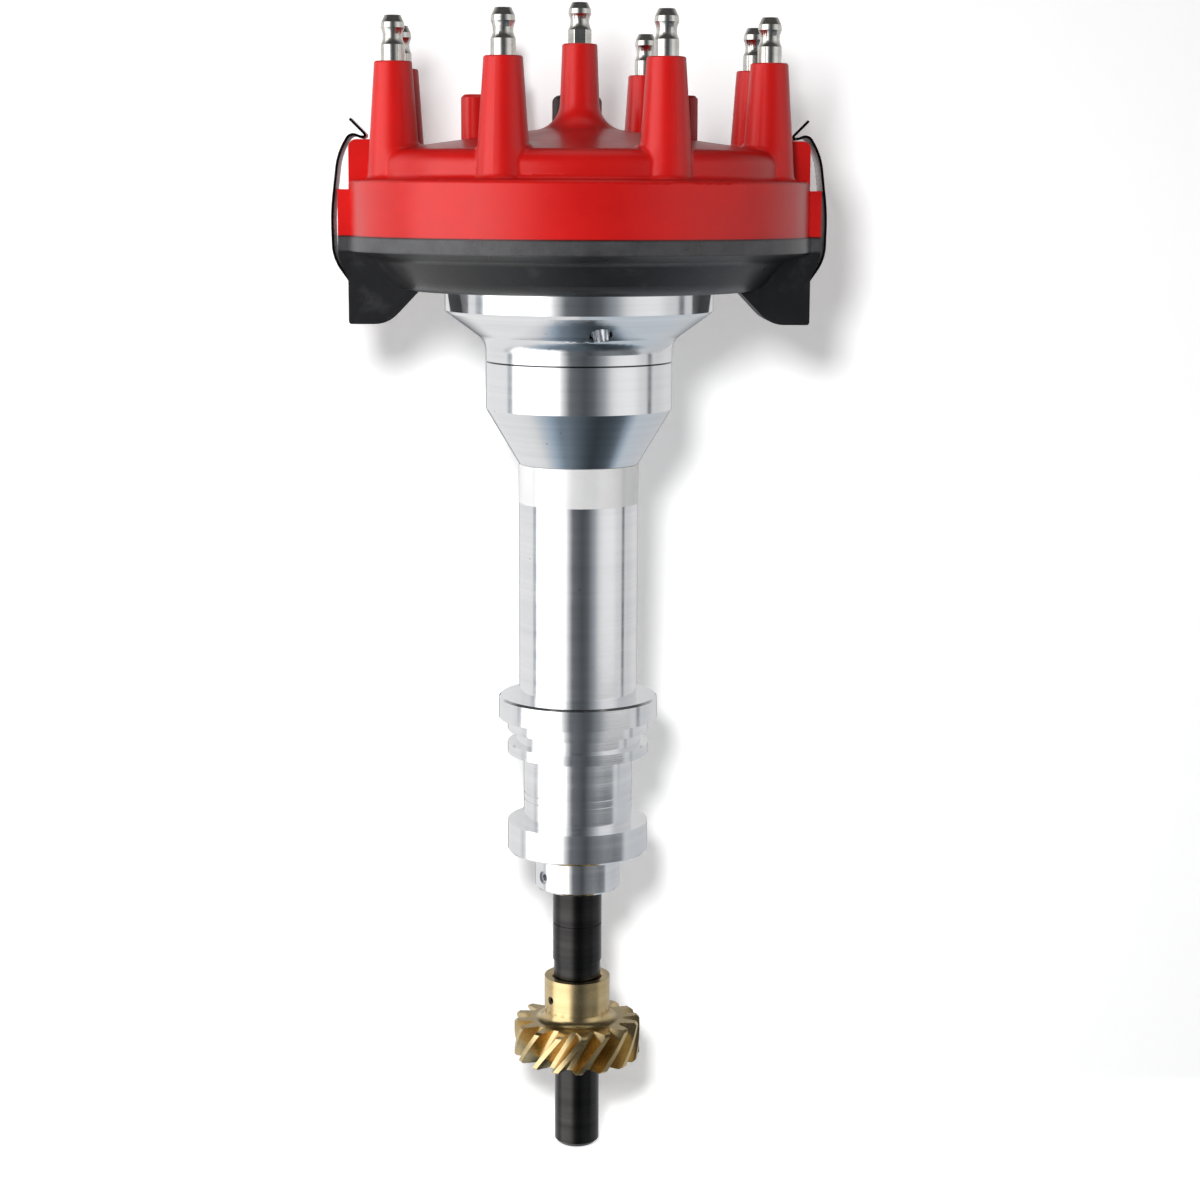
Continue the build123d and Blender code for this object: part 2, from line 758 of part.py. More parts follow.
with BuildPart() as weight_pivots:
    with BuildSketch(Plane.XY.offset(advance_plate_bottom)):
        with PolarLocations(pivot_reach, 2):
            Circle(pivot_radius - 0.5)
    extrude(amount=advance_plate_height)
    with BuildSketch(Plane.XY.offset(advance_plate_top)):
        with PolarLocations(pivot_reach, 2):
            Circle(pivot_radius)
    extrude(amount=rotor_bottom - advance_plate_top)
    with BuildSketch(Plane.XY.offset(rotor_bottom)):
        with PolarLocations(pivot_reach, 2):
            Circle(rotor_screw_radius)
    extrude(amount=rotor_height - rotor_screw_length, mode=Mode.SUBTRACT)
    # Groove that the spring's hook lies in
    with BuildSketch(Plane.XY.offset(spring_axis_height - spring_wire_radius)):
        with PolarLocations(pivot_reach, 2):
            Circle(pivot_radius)
            Circle(pivot_radius - spring_wire_radius, mode=Mode.SUBTRACT)
    extrude(amount=2 * spring_wire_radius, mode=Mode.SUBTRACT)
save(weight_pivots.part, "weight_pivots")

with BuildPart() as weight_washers:
    with BuildSketch(Plane.XY.offset(advance_plate_top)):
        with PolarLocations(pivot_reach, 2):
            Circle(weight_washer_radius)
            Circle(pivot_radius, mode=Mode.SUBTRACT)
    extrude(amount=weight_washer_height)
save(weight_washers.part, "weight_washers")

with BuildPart() as weight_clips:
    with BuildSketch(Plane.XY.offset(weight_top + axial_gap)):
        with PolarLocations(pivot_reach, 2):
            Circle(weight_clip_radius)
            Circle(pivot_radius, mode=Mode.SUBTRACT)
        with PolarLocations(pivot_reach + weight_clip_radius, 2):
            Rectangle(2 * weight_clip_radius, pivot_radius, mode=Mode.SUBTRACT)
    extrude(amount=weight_clip_height)
save(weight_clips.part, "weight_clips")

# Two centrifugal weights, half a turn apart
for turn, weight_name in ((0, "weight_a"), (180, "weight_b")):
    with BuildPart() as weight:
        with BuildSketch(Plane.XY.offset(weight_bottom).rotated((0, 0, turn))):
            with BuildLine():
                sweep_angle = weight_end_angle - weight_start_angle
                CenterArc((0, 0), weight_outer_radius, weight_start_angle, sweep_angle)
                CenterArc((0, 0), weight_inner_radius, weight_start_angle, sweep_angle)
                for angle in (weight_start_angle, weight_end_angle):
                    Line(polar(weight_inner_radius, angle), polar(weight_outer_radius, angle))
            make_face()
            with Locations((pivot_reach, 0)):
                Circle(weight_boss_radius)
                Circle(pivot_radius + pivot_gap, mode=Mode.SUBTRACT)
        extrude(amount=weight_height)
    save(weight.part, weight_name)

# Cam and centre plate, fixed to the top of the shaft
with BuildPart() as advance_cam:
    with BuildSketch(Plane.XY.offset(cam_bottom)):
        SlotOverall(cam_length, cam_width, rotation=spring_post_angle)
        Circle(stub_radius, mode=Mode.SUBTRACT)
    extrude(amount=centre_plate_bottom - cam_bottom)
save(advance_cam.part, "advance_cam")

with BuildPart() as centre_plate:
    with BuildSketch(Plane.XY.offset(centre_plate_bottom)):
        Circle(centre_plate_radius)
        SlotCenterToCenter(2 * spring_post_reach, centre_arm_width, rotation=spring_post_angle)
        Circle(stub_radius, mode=Mode.SUBTRACT)
    extrude(amount=centre_plate_height)
    # Spring posts above, and the stop pin below
    with BuildSketch(Plane.XY.offset(centre_plate_top)):
        with PolarLocations(spring_post_reach, 2, start_angle=spring_post_angle):
            Circle(spring_post_radius)
    extrude(amount=spring_rise + 2 * spring_wire_radius)
    with BuildSketch(Plane.XY.offset(centre_plate_bottom)):
        with Locations(polar(stop_reach, stop_angle)):
            Circle(stop_pin_radius)
    extrude(amount=advance_plate_bottom - centre_plate_bottom)
save(centre_plate.part, "centre_plate")

with BuildPart() as stop_bushing:
    with BuildSketch(Plane.XY.offset(advance_plate_bottom)):
        with Locations(polar(stop_reach, stop_angle)):
            Circle(stop_pin_radius + stop_bushing_wall)
            Circle(stop_pin_radius, mode=Mode.SUBTRACT)
    extrude(amount=weight_top - advance_plate_bottom)
save(stop_bushing.part, "stop_bushing")

with BuildPart() as centre_screw:
    with BuildSketch(Plane.XZ):
        rod(centre_screw_radius, centre_plate_top - centre_screw_length, centre_plate_top)
        rod(centre_screw_head, centre_plate_top, centre_plate_top + centre_screw_head_height)
    revolve(axis=Axis.Z)
    with BuildSketch(Plane.XY.offset(centre_plate_top + centre_screw_head_height)):
        Rectangle(3 * centre_screw_head, screw_slot_width)
    extrude(amount=-screw_slot_depth, mode=Mode.SUBTRACT)
save(centre_screw.part, "centre_screw")

# Advance springs, each hooked from a pivot to a post of the centre plate
spring_start = polar(pivot_reach, 0, spring_axis_height)
spring_end = polar(spring_post_reach, spring_post_angle, spring_axis_height)
spring_line = spring_end - spring_start
hook_start = pivot_radius
hook_end = spring_post_radius + spring_wire_radius
coil_length = spring_line.length - hook_start - hook_end - 4 * spring_wire_radius
coil_start = spring_start + spring_line.normalized() * (hook_start + 2 * spring_wire_radius)
with BuildPart() as spring_coil:
    with BuildLine():
        coil = Helix(
            coil_length / spring_turns,
            coil_length,
            spring_coil_radius,
            center=coil_start,
            direction=spring_line,
        )
    with BuildSketch(Plane(origin=coil @ 0, z_dir=coil % 0)):
        Circle(spring_wire_radius)
    sweep(path=coil, is_frenet=True)
with BuildPart() as one_spring:
    add(spring_coil.part)
    for centre, radius, coil_end, towards in (
        (spring_start, hook_start, coil @ 0, 1),
        (spring_end, hook_end, coil @ 1, -1),
    ):
        with Locations(centre):
            Torus(radius, spring_wire_radius)
        # Leg between the hook and the coil's end
        leg_start = centre + spring_line.normalized() * (towards * radius)
        with BuildSketch(Plane(origin=leg_start, z_dir=coil_end - leg_start)):
            Circle(spring_wire_radius)
        extrude(amount=(coil_end - leg_start).length)
        with Locations(coil_end):
            Sphere(spring_wire_radius)
with BuildPart() as advance_springs:
    with PolarLocations(0, 2):
        add(one_spring.part)
save(advance_springs.part, "advance_springs")

# Rotor with its contact blade
with BuildPart() as rotor:
    with BuildSketch(Plane.XY.offset(rotor_bottom)):
        Circle(rotor_radius)
        with Locations(Location((0, 0), rotor_angle)):
            with Locations((rotor_arm_reach / 2, 0)):
                Rectangle(rotor_arm_reach, rotor_arm_width)
    extrude(amount=rotor_height)
    with BuildSketch(Plane.XY.offset(rotor_top)):
        with PolarLocations(pivot_reach, 2):
            Circle(rotor_screw_radius)
    extrude(amount=-rotor_height, mode=Mode.SUBTRACT)
save(rotor.part, "rotor")

with BuildPart() as rotor_blade:
    with BuildSketch(Plane.XY.offset(rotor_top)):
        Circle(blade_width * 0.6)
        with Locations(Location((0, 0), rotor_angle)):
            with Locations((blade_reach / 2, 0)):
                Rectangle(blade_reach, blade_width)
    extrude(amount=blade_height)
save(rotor_blade.part, "rotor_blade")

with BuildPart() as rotor_screws:
    with BuildSketch(Plane.XY.offset(rotor_top)):
        with PolarLocations(pivot_reach, 2):
            Circle(rotor_screw_head)
    extrude(amount=rotor_screw_head_height)
    with BuildSketch(Plane.XY.offset(rotor_top + rotor_screw_head_height)):
        with PolarLocations(pivot_reach, 2, rotate=False):
            Rectangle(3 * rotor_screw_head, screw_slot_width)
    extrude(amount=-screw_slot_depth, mode=Mode.SUBTRACT)
    with BuildSketch(Plane.XY.offset(rotor_top)):
        with PolarLocations(pivot_reach, 2):
            Circle(rotor_screw_radius)
    extrude(amount=-rotor_screw_length)
save(rotor_screws.part, "rotor_screws")


def bowl_outline(top):
    """Corners of half the bowl's outer section, up to this height."""
    return (
        (0, flange_top),
        (bowl_foot_radius, flange_top),
        (bowl_shelf_radius, bowl_shelf_height),
        (base_lip_radius, lip_bottom),
        (base_lip_radius, top),
        (0, top),
    )


# The space inside the bowl, one wall in from its outside
with BuildPart() as bowl_space:
    with BuildSketch(Plane.XZ):
        with BuildLine():
            Polyline(*bowl_outline(cap_bottom + 2 * base_wall), close=True)
        make_face()
    revolve(axis=Axis.Z)
    fillet(round_edges(bowl_space, bowl_foot_radius, flange_top), bowl_foot_fillet)
    offset(amount=-base_wall)

# Moulded bowl with a block and an ear on each side
with BuildPart() as cap_base:
    with BuildSketch(Plane.XZ):
        with BuildLine():
            Polyline(*bowl_outline(cap_bottom), close=True)
        make_face()
    revolve(axis=Axis.Z)
    fillet(round_edges(cap_base, bowl_foot_radius, flange_top), bowl_foot_fillet)
    fillet(round_edges(cap_base, bowl_shelf_radius, bowl_shelf_height), bowl_shelf_fillet)
    for side in (1, -1):
        with BuildSketch(Plane.XZ):
            with BuildLine():
                FilletPolyline(
                    (side * ear_heel, flange_top + 1),
                    (side * ear_heel, flange_top),
                    (side * ear_corner, flange_top - ear_drop),
                    (side * ear_reach, flange_top - ear_drop),
                    (side * ear_reach, flange_top + ear_slope_top),
                    (side * side_pad_reach, cap_bottom - side_pad_taper),
                    (side * side_pad_reach, cap_bottom),
                    radius=(0.1, ear_fillet, 0.8, 0.8, side_pad_bend),
                )
                Line((side * side_pad_reach, cap_bottom), (side * ear_heel, cap_bottom))
                Line((side * ear_heel, cap_bottom), (side * ear_heel, flange_top + 1))
            make_face()
        extrude(amount=side_block_width / 2, both=True)
    add(bowl_space.part, mode=Mode.SUBTRACT)
    # Ledge and rib that centre the cap
    with BuildSketch(Plane.XZ):
        rib_outer = cap_bore_radius - cover_gap
        ring(rib_outer - base_rib_width, base_radius - 1, lip_bottom + base_wall / 2, cap_bottom)
        ring(rib_outer - base_rib_width, rib_outer, cap_bottom, cap_bottom + base_rib_height)
    revolve(axis=Axis.Z)
    # Hole round the housing's spigot, and screw holes
    with BuildSketch(Plane.XY.offset(flange_top)):
        Circle(spigot_radius + screw_gap)
        with PolarLocations(base_screw_reach, base_screw_count, start_angle=45):
            Circle(base_screw_radius + screw_gap)
        with Locations(polar(grommet_reach, grommet_angle)):
            Circle(grommet_neck_radius)
        with Locations(*pickup_screw_places):
            Circle(pickup_screw_radius)
    extrude(amount=base_wall, mode=Mode.SUBTRACT)
    # Slot for each spring clip, with the holes of its pin
    for side in (1, -1):
        with BuildSketch(Plane.XZ):
            slot_floor = clip_pin_reach - clip_slot_inset
            slot_roof = clip_pin_height + clip_slot_rise
            with Locations((side * (slot_floor + side_pad_reach) / 2, slot_roof)):
                Rectangle(
                    side_pad_reach - slot_floor,
                    slot_roof - flange_top + 2 * ear_drop,
                    align=(Align.CENTER, Align.MAX),
                )
        extrude(amount=clip_width / 2 + clip_slot_gap, both=True, mode=Mode.SUBTRACT)
        with BuildSketch(Plane.XZ):
            with Locations((side * clip_pin_reach, clip_pin_height)):
                Circle(clip_pin_radius)
        extrude(amount=clip_pin_length / 2, both=True, mode=Mode.SUBTRACT)
save(cap_base.part, "cap_base")

with BuildPart() as clip_pins:
    for side in (1, -1):
        with BuildSketch(Plane.XZ):
            with Locations((side * clip_pin_reach, clip_pin_height)):
                Circle(clip_pin_radius)
        extrude(amount=clip_pin_length / 2, both=True)
save(clip_pins.part, "clip_pins")

with BuildPart() as base_screws:
    with BuildSketch(Plane.XY.offset(floor_top)):
        with PolarLocations(base_screw_reach, base_screw_count, start_angle=45):
            Circle(base_screw_head)
    extrude(amount=base_screw_head_height)
    with BuildSketch(Plane.XY.offset(floor_top + base_screw_head_height)):
        with PolarLocations(base_screw_reach, base_screw_count, start_angle=45, rotate=False):
            Rectangle(3 * base_screw_head, screw_slot_width)
    extrude(amount=-screw_slot_depth, mode=Mode.SUBTRACT)
    with BuildSketch(Plane.XY.offset(floor_top)):
        with PolarLocations(base_screw_reach, base_screw_count, start_angle=45):
            Circle(base_screw_radius)
    extrude(amount=-base_screw_length)
save(base_screws.part, "base_screws")

with BuildPart() as wire_grommet:
    with BuildSketch(Plane.XY.offset(flange_top - grommet_flange_height)):
        with Locations(polar(grommet_reach, grommet_angle)):
            Circle(grommet_flange_radius)
    extrude(amount=grommet_flange_height)
    with BuildSketch(Plane.XY.offset(flange_top)):
        with Locations(polar(grommet_reach, grommet_angle)):
            Circle(grommet_neck_radius)
    extrude(amount=base_wall)
    with BuildSketch(Plane.XY.offset(floor_top)):
        with Locations(polar(grommet_reach, grommet_angle)):
            Circle(grommet_flange_radius)
    extrude(amount=grommet_flange_height)
    with BuildSketch(Plane.XY.offset(flange_top - grommet_flange_height)):
        with Locations(polar(grommet_reach, grommet_angle)):
            Circle(grommet_bore_radius)
    extrude(amount=base_wall + 2 * grommet_flange_height, mode=Mode.SUBTRACT)
save(wire_grommet.part, "wire_grommet")

# Magnetic pickup on the bowl's floor, behind the shaft
with BuildPart() as pickup_bracket:
    with BuildSketch(Plane.XY.offset(floor_top)):
        with Locations((0, pickup_tip + 1)):
            Rectangle(pickup_bracket_width, pickup_bracket_length - 1, align=(Align.CENTER, Align.MIN))
        Circle(spigot_radius + cover_gap, mode=Mode.SUBTRACT)
        with Locations(*pickup_screw_places):
            Circle(pickup_screw_radius + screw_gap, mode=Mode.SUBTRACT)
    extrude(amount=pickup_bracket_height)
save(pickup_bracket.part, "pickup_bracket")

with BuildPart() as pickup_coil:
    with BuildSketch(Plane.XY.offset(floor_top + pickup_bracket_height)):
        with Locations((0, pickup_coil_start)):
            Rectangle(pickup_coil_width, pickup_coil_length, align=(Align.CENTER, Align.MIN))
    extrude(amount=pickup_coil_height)
    with BuildSketch(Plane.XY.offset(pole_rise)):
        with Locations((0, pickup_coil_start)):
            Rectangle(pickup_pole_width, pickup_coil_length, align=(Align.CENTER, Align.MIN))
    extrude(amount=pickup_pole_height, mode=Mode.SUBTRACT)
save(pickup_coil.part, "pickup_coil")

with BuildPart() as pickup_pole:
    with BuildSketch(Plane.XY.offset(pole_rise)):
        with Locations((0, pickup_tip)):
            Rectangle(pickup_pole_width, pickup_magnet_start - pickup_tip, align=(Align.CENTER, Align.MIN))
    extrude(amount=pickup_pole_height)
save(pickup_pole.part, "pickup_pole")

with BuildPart() as pickup_magnet:
    with BuildSketch(Plane.XY.offset(floor_top + pickup_bracket_height)):
        with Locations((0, pickup_magnet_start)):
            Rectangle(pickup_coil_width, pickup_magnet_length, align=(Align.CENTER, Align.MIN))
    extrude(amount=pickup_coil_height)
save(pickup_magnet.part, "pickup_magnet")

with BuildPart() as pickup_screws:
    bracket_top = floor_top + pickup_bracket_height
    with BuildSketch(Plane.XY.offset(bracket_top)):
        with Locations(*pickup_screw_places):
            Circle(pickup_screw_head)
    extrude(amount=pickup_screw_head_height)
    with BuildSketch(Plane.XY.offset(bracket_top + pickup_screw_head_height)):
        with Locations(*pickup_screw_places):
            Rectangle(3 * pickup_screw_head, screw_slot_width)
    extrude(amount=-screw_slot_depth, mode=Mode.SUBTRACT)
    with BuildSketch(Plane.XY.offset(bracket_top)):
        with Locations(*pickup_screw_places):
            Circle(pickup_screw_radius)
    extrude(amount=-pickup_screw_length)
save(pickup_screws.part, "pickup_screws")

# Cap with a ring of towers round the coil tower
with BuildPart() as distributor_cap:
    with BuildSketch(Plane.XZ):
        with BuildLine():
            Polyline(
                (0, cap_bottom),
                (base_radius, cap_bottom),
                (base_radius, cap_step),
                (cap_step_radius, cap_step),
                (cap_step_radius, cap_shoulder),
                (centre_tower_base_radius, cap_crown),
                (centre_tower_top_radius, centre_tower_top),
                (0, centre_tower_top),
                close=True,
            )
        make_face()
    revolve(axis=Axis.Z)
    fillet(round_edges(distributor_cap, centre_tower_base_radius, cap_crown), cap_crown_flare)
    fillet(round_edges(distributor_cap, cap_step_radius, cap_shoulder), cap_shoulder_round)
    fillet(round_edges(distributor_cap, cap_step_radius, cap_step), cap_step_fillet)
    fillet(round_edges(distributor_cap, base_radius, cap_step), cap_edge_round)
    # Outer towers, each a tall cone that stands on the step
    with Locations((0, 0, cap_step)):
        with PolarLocations(tower_reach, tower_count, start_angle=tower_first_angle):
            Cone(
                tower_base_radius,
                tower_top_radius,
                tower_top - cap_step,
                align=(Align.CENTER, Align.CENTER, Align.MIN),
            )
    tower_feet = distributor_cap.edges(Select.NEW).filter_by(lambda edge: edge.center().Z < tower_top - 1)
    fillet(tower_feet, tower_foot_fillet)
    tower_rims = distributor_cap.edges().filter_by(GeomType.CIRCLE).filter_by(
        lambda edge: edge.center().Z > tower_top - 0.01
    )
    chamfer(tower_rims, tower_edge_break)
    # Two posts beside the coil tower, and the vent's seat behind it
    with BuildSketch(Plane.XY.offset(cap_ceiling)):
        with PolarLocations(post_reach, 2):
            Circle(post_radius)
    extrude(amount=cap_bottom + post_height - cap_ceiling)
    post_rims = distributor_cap.edges().filter_by(GeomType.CIRCLE).filter_by(
        lambda edge: abs(edge.center().Z - cap_bottom - post_height) < 0.01
    )
    chamfer(post_rims, post_chamfer)
    with BuildSketch(Plane.XY.offset(cap_ceiling)):
        with Locations((0, post_reach)):
            Circle(vent_radius + vent_seat_margin)
    extrude(amount=vent_seat - cap_ceiling)
    # Catch block and side pad for each spring clip
    for side in (1, -1):
        with BuildSketch(Plane.XZ):
            with BuildLine():
                FilletPolyline(
                    (side * catch_heel, cap_step),
                    (side * catch_heel, catch_top),
                    (side * catch_reach, catch_top),
                    (side * catch_reach, cap_bottom),
                    radius=(0.5, catch_round),
                )
                Line((side * catch_reach, cap_bottom), (side * catch_heel, cap_bottom))
                Line((side * catch_heel, cap_bottom), (side * catch_heel, cap_step))
            make_face()
        extrude(amount=catch_width / 2, both=True)
        with BuildSketch(Plane.XZ):
            with Locations((side * (side_pad_reach + catch_heel) / 2, cap_bottom)):
                Rectangle(side_pad_reach - catch_heel, side_pad_height, align=(Align.CENTER, Align.MIN))
        extrude(amount=side_block_width / 2, both=True)
    # Space for the rotor
    with BuildSketch(Plane.XZ):
        rod(cap_bore_radius, cap_bottom, cap_step - cap_wall)
        rod(cap_inner_radius, cap_bottom, cap_ceiling)
    revolve(axis=Axis.Z, mode=Mode.SUBTRACT)
    with BuildSketch(Plane.XZ):
        rod(button_boss_radius, button_boss_bottom, cap_ceiling)
    revolve(axis=Axis.Z)
    # Bores of the button, the terminals and the vent
    with BuildSketch(Plane.XZ):
        rod(button_radius + pivot_gap, button_boss_bottom, button_spring_top)
        rod(stem_radius, button_spring_top, centre_tower_top)
    revolve(axis=Axis.Z, mode=Mode.SUBTRACT)
    with BuildSketch(Plane.XY.offset(insert_bottom)):
        with PolarLocations(tower_reach, tower_count, start_angle=tower_first_angle):
            Circle(insert_radius)
    extrude(amount=insert_top - insert_bottom, mode=Mode.SUBTRACT)
    with BuildSketch(Plane.XY.offset(insert_top)):
        with PolarLocations(tower_reach, tower_count, start_angle=tower_first_angle):
            Circle(stem_radius)
    extrude(amount=tower_top - insert_top, mode=Mode.SUBTRACT)
    with BuildSketch(Plane.XY.offset(cap_ceiling)):
        with Locations((0, post_reach)):
            Circle(vent_stem_radius)
    extrude(amount=vent_seat - cap_ceiling, mode=Mode.SUBTRACT)
save(distributor_cap.part, "distributor_cap")

with BuildPart() as vent_cap:
    with BuildSketch(Plane.XY.offset(vent_seat)):
        with Locations((0, post_reach)):
            Circle(vent_radius)
    extrude(amount=cap_bottom + vent_height - vent_seat)
    fillet(vent_cap.edges().group_by(Axis.Z)[-1], vent_round)
    with BuildSketch(Plane.XY.offset(vent_seat)):
        with Locations((0, post_reach)):
            Circle(vent_stem_radius)
    extrude(amount=-vent_stem_length)
save(vent_cap.part, "vent_cap")


def terminal_head(foot, foot_height, height):
    """Head of a terminal that a boot is pushed over, from the top of its tower up."""
    stretch = height / terminal_height
    with BuildPart() as head:
        with BuildSketch(Plane.XZ):
            with BuildLine():
                Polyline((0, foot), (terminal_base_radius, foot), (terminal_base_radius, foot + foot_height))
                Spline(
                    (terminal_base_radius, foot + foot_height),
                    (terminal_neck_radius, foot + terminal_neck_height * stretch),
                    (terminal_ball_radius, foot + terminal_ball_height * stretch),
                )
                Polyline(
                    (terminal_ball_radius, foot + terminal_ball_height * stretch),
                    (terminal_shoulder_radius, foot + terminal_shoulder_height * stretch),
                    (terminal_top_radius, foot + height),
                    (0, foot + height),
                    (0, foot),
                )
            make_face()
        revolve(axis=Axis.Z)
    return head.part


plug_head = terminal_head(tower_top, terminal_base_height, terminal_height)
coil_head = terminal_head(centre_tower_top, coil_hex_height, coil_terminal_height)

# Plug terminals: a head, a stem down the tower and an insert that faces the rotor
with BuildPart() as one_terminal:
    with BuildSketch(Plane.XZ):
        rod(insert_radius, insert_bottom, insert_top)
        rod(stem_radius, insert_top, tower_top)
    revolve(axis=Axis.Z)
    add(plug_head)
with BuildPart() as plug_terminals:
    with PolarLocations(tower_reach, tower_count, start_angle=tower_first_angle):
        add(one_terminal.part)
save(plug_terminals.part, "plug_terminals")

with BuildPart() as coil_terminal:
    with BuildSketch(Plane.XZ):
        rod(stem_radius, button_spring_top, centre_tower_top)
    revolve(axis=Axis.Z)
    add(coil_head)
    with BuildSketch(Plane.XY.offset(centre_tower_top)):
        Circle(terminal_base_radius + 1)
        RegularPolygon(coil_hex_across / 2, 6, major_radius=False, mode=Mode.SUBTRACT)
    extrude(amount=coil_hex_height, mode=Mode.SUBTRACT)
save(coil_terminal.part, "coil_terminal")

with BuildPart() as carbon_button:
    with BuildSketch(Plane.XZ):
        rod(button_radius, button_bottom, button_top)
    revolve(axis=Axis.Z)
    chamfer(round_edges(carbon_button, button_radius, button_bottom), 0.6)
save(carbon_button.part, "carbon_button")

with BuildPart() as button_spring:
    button_spring_radius = button_radius - 2 * spring_wire_radius
    wire_span = button_spring_length - 2 * spring_wire_radius - axial_gap
    with BuildLine():
        button_coil = Helix(
            wire_span / button_spring_turns,
            wire_span,
            button_spring_radius,
            center=(0, 0, button_top + spring_wire_radius + axial_gap / 2),
        )
    with BuildSketch(Plane(origin=button_coil @ 0, z_dir=button_coil % 0)):
        Circle(spring_wire_radius)
    sweep(path=button_coil, is_frenet=True)
save(button_spring.part, "button_spring")

# Spring clips, one each side
loop_radius = clip_pin_radius + pivot_gap + clip_thickness / 2
hook_height = catch_top + body_gap + clip_thickness / 2
leave = radians(clip_leave_angle)
strip_start = (
    clip_pin_reach + loop_radius * sin(leave),
    clip_pin_height - loop_radius * cos(leave),
)
bow_reach = side_pad_reach + clip_pad_gap + clip_thickness / 2
low_reach = bow_reach - clip_bow_inset
shoulder_reach = catch_reach + clip_catch_gap + clip_thickness / 2
hook_reach = clip_pin_reach - clip_hook_inset
strip_corners = (
    strip_start,
    (low_reach, strip_start[1] + (low_reach - strip_start[0]) * tan(leave)),
    (bow_reach, clip_pin_height + clip_bow_rise),
    (shoulder_reach, hook_height - clip_shoulder_drop),
    (shoulder_reach - clip_arch_lean, hook_height + clip_arch_rise),
    (hook_reach + clip_hook_length, hook_height),
    (hook_reach, hook_height),
)
tab_run = clip_tab_length * cos(pi / 4)
for side, clip_name in ((1, "clip_right"), (-1, "clip_left")):
    with BuildPart() as clip:
        with BuildSketch(Plane.XZ.offset(-clip_width / 2)):
            with BuildLine():
                CenterArc((clip_pin_reach, clip_pin_height), loop_radius, clip_leave_angle - 90 - 300, 300)
                FilletPolyline(*strip_corners, radius=clip_bends)
            trace(line_width=clip_thickness)
        extrude(amount=clip_width)
        with BuildSketch(Plane.XZ.offset(-clip_tab_width / 2)):
            with BuildLine():
                fold = CenterArc((hook_reach, hook_height + clip_fold_radius), clip_fold_radius, -90, -135)
                Line(fold @ 1, fold @ 1 + Vector(tab_run, tab_run))
            trace(line_width=clip_thickness)
        extrude(amount=clip_tab_width)
        if side < 0:
            mirror(about=Plane.YZ, mode=Mode.REPLACE)
    save(clip.part, clip_name)
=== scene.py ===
# %% [markdown]
# # An ignition distributor
# The distributor stands upright on its shaft, as in a catalogue picture. Its solid pieces come ready made
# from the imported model. This lesson puts a camera, light and a pale stage round them, and then gives every
# piece a finish made only from nodes.

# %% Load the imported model
import math

import bmesh
import bpy
from mathutils import Matrix, Vector


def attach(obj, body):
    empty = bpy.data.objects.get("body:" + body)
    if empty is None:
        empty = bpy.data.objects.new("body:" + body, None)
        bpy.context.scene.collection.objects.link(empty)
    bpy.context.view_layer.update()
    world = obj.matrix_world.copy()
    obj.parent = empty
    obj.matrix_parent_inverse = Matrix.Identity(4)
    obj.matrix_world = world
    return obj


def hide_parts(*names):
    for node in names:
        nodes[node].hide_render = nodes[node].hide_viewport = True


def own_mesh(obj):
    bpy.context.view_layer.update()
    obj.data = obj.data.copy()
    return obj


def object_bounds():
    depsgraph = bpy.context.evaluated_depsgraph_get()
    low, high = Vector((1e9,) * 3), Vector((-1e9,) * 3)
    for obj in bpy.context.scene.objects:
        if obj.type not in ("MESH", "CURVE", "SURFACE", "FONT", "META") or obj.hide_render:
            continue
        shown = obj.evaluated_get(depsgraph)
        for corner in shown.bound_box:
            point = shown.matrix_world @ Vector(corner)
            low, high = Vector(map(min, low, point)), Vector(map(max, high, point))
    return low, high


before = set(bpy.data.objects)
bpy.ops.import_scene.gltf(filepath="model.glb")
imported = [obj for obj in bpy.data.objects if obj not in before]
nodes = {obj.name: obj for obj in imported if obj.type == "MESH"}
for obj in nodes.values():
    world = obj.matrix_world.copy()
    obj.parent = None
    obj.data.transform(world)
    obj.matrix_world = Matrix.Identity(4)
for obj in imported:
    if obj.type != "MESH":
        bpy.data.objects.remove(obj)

scene = bpy.context.scene
cad_low, cad_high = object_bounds()
print("loaded", len(nodes), "nodes, height", round(cad_high[2] - cad_low[2], 4), "m")

# %% [markdown]
# ## Camera
# The picture was taken from a little above the cap, looking slightly down, from about two thirds of a metre.
# A camera turned by hand would need three angles to be guessed together, so its turn is built from four
# plain ones: the side it stands on, how far it looks down, a small turn to the right and a slight tilt.

# %% Place the camera
camera_distance = 0.660
camera_height = 0.1452
camera_side = math.radians(-1.5)
look_down = math.radians(9.65)
look_right = math.radians(0.53)
camera_roll = math.radians(0.25)

camera_data = bpy.data.cameras.new("camera")
camera_data.lens = 71.7
camera_data.sensor_width = 36.0
camera = bpy.data.objects.new("camera", camera_data)
scene.collection.objects.link(camera)
camera_place = Vector(
    (camera_distance * math.sin(camera_side), -camera_distance * math.cos(camera_side), camera_height)
)
camera.matrix_world = (
    Matrix.Translation(camera_place)
    @ Matrix.Rotation(camera_side - look_right, 4, "Z")
    @ Matrix.Rotation(math.pi / 2 - look_down, 4, "X")
    @ Matrix.Rotation(camera_roll, 4, "Z")
)
scene.camera = camera
print("camera at", [round(v, 3) for v in camera_place])

# %% [markdown]
# ## Stage
# A pale sheet runs flat under the distributor and bends up behind it. Two planes, for a floor and a wall,
# would show a hard line where they meet, so one bent edge is pulled out into a strip with extrude, and its
# fold is rounded with bevel. The wall leans back as much as the camera looks down, so it stands close behind
# the whole distributor and takes its shadow.

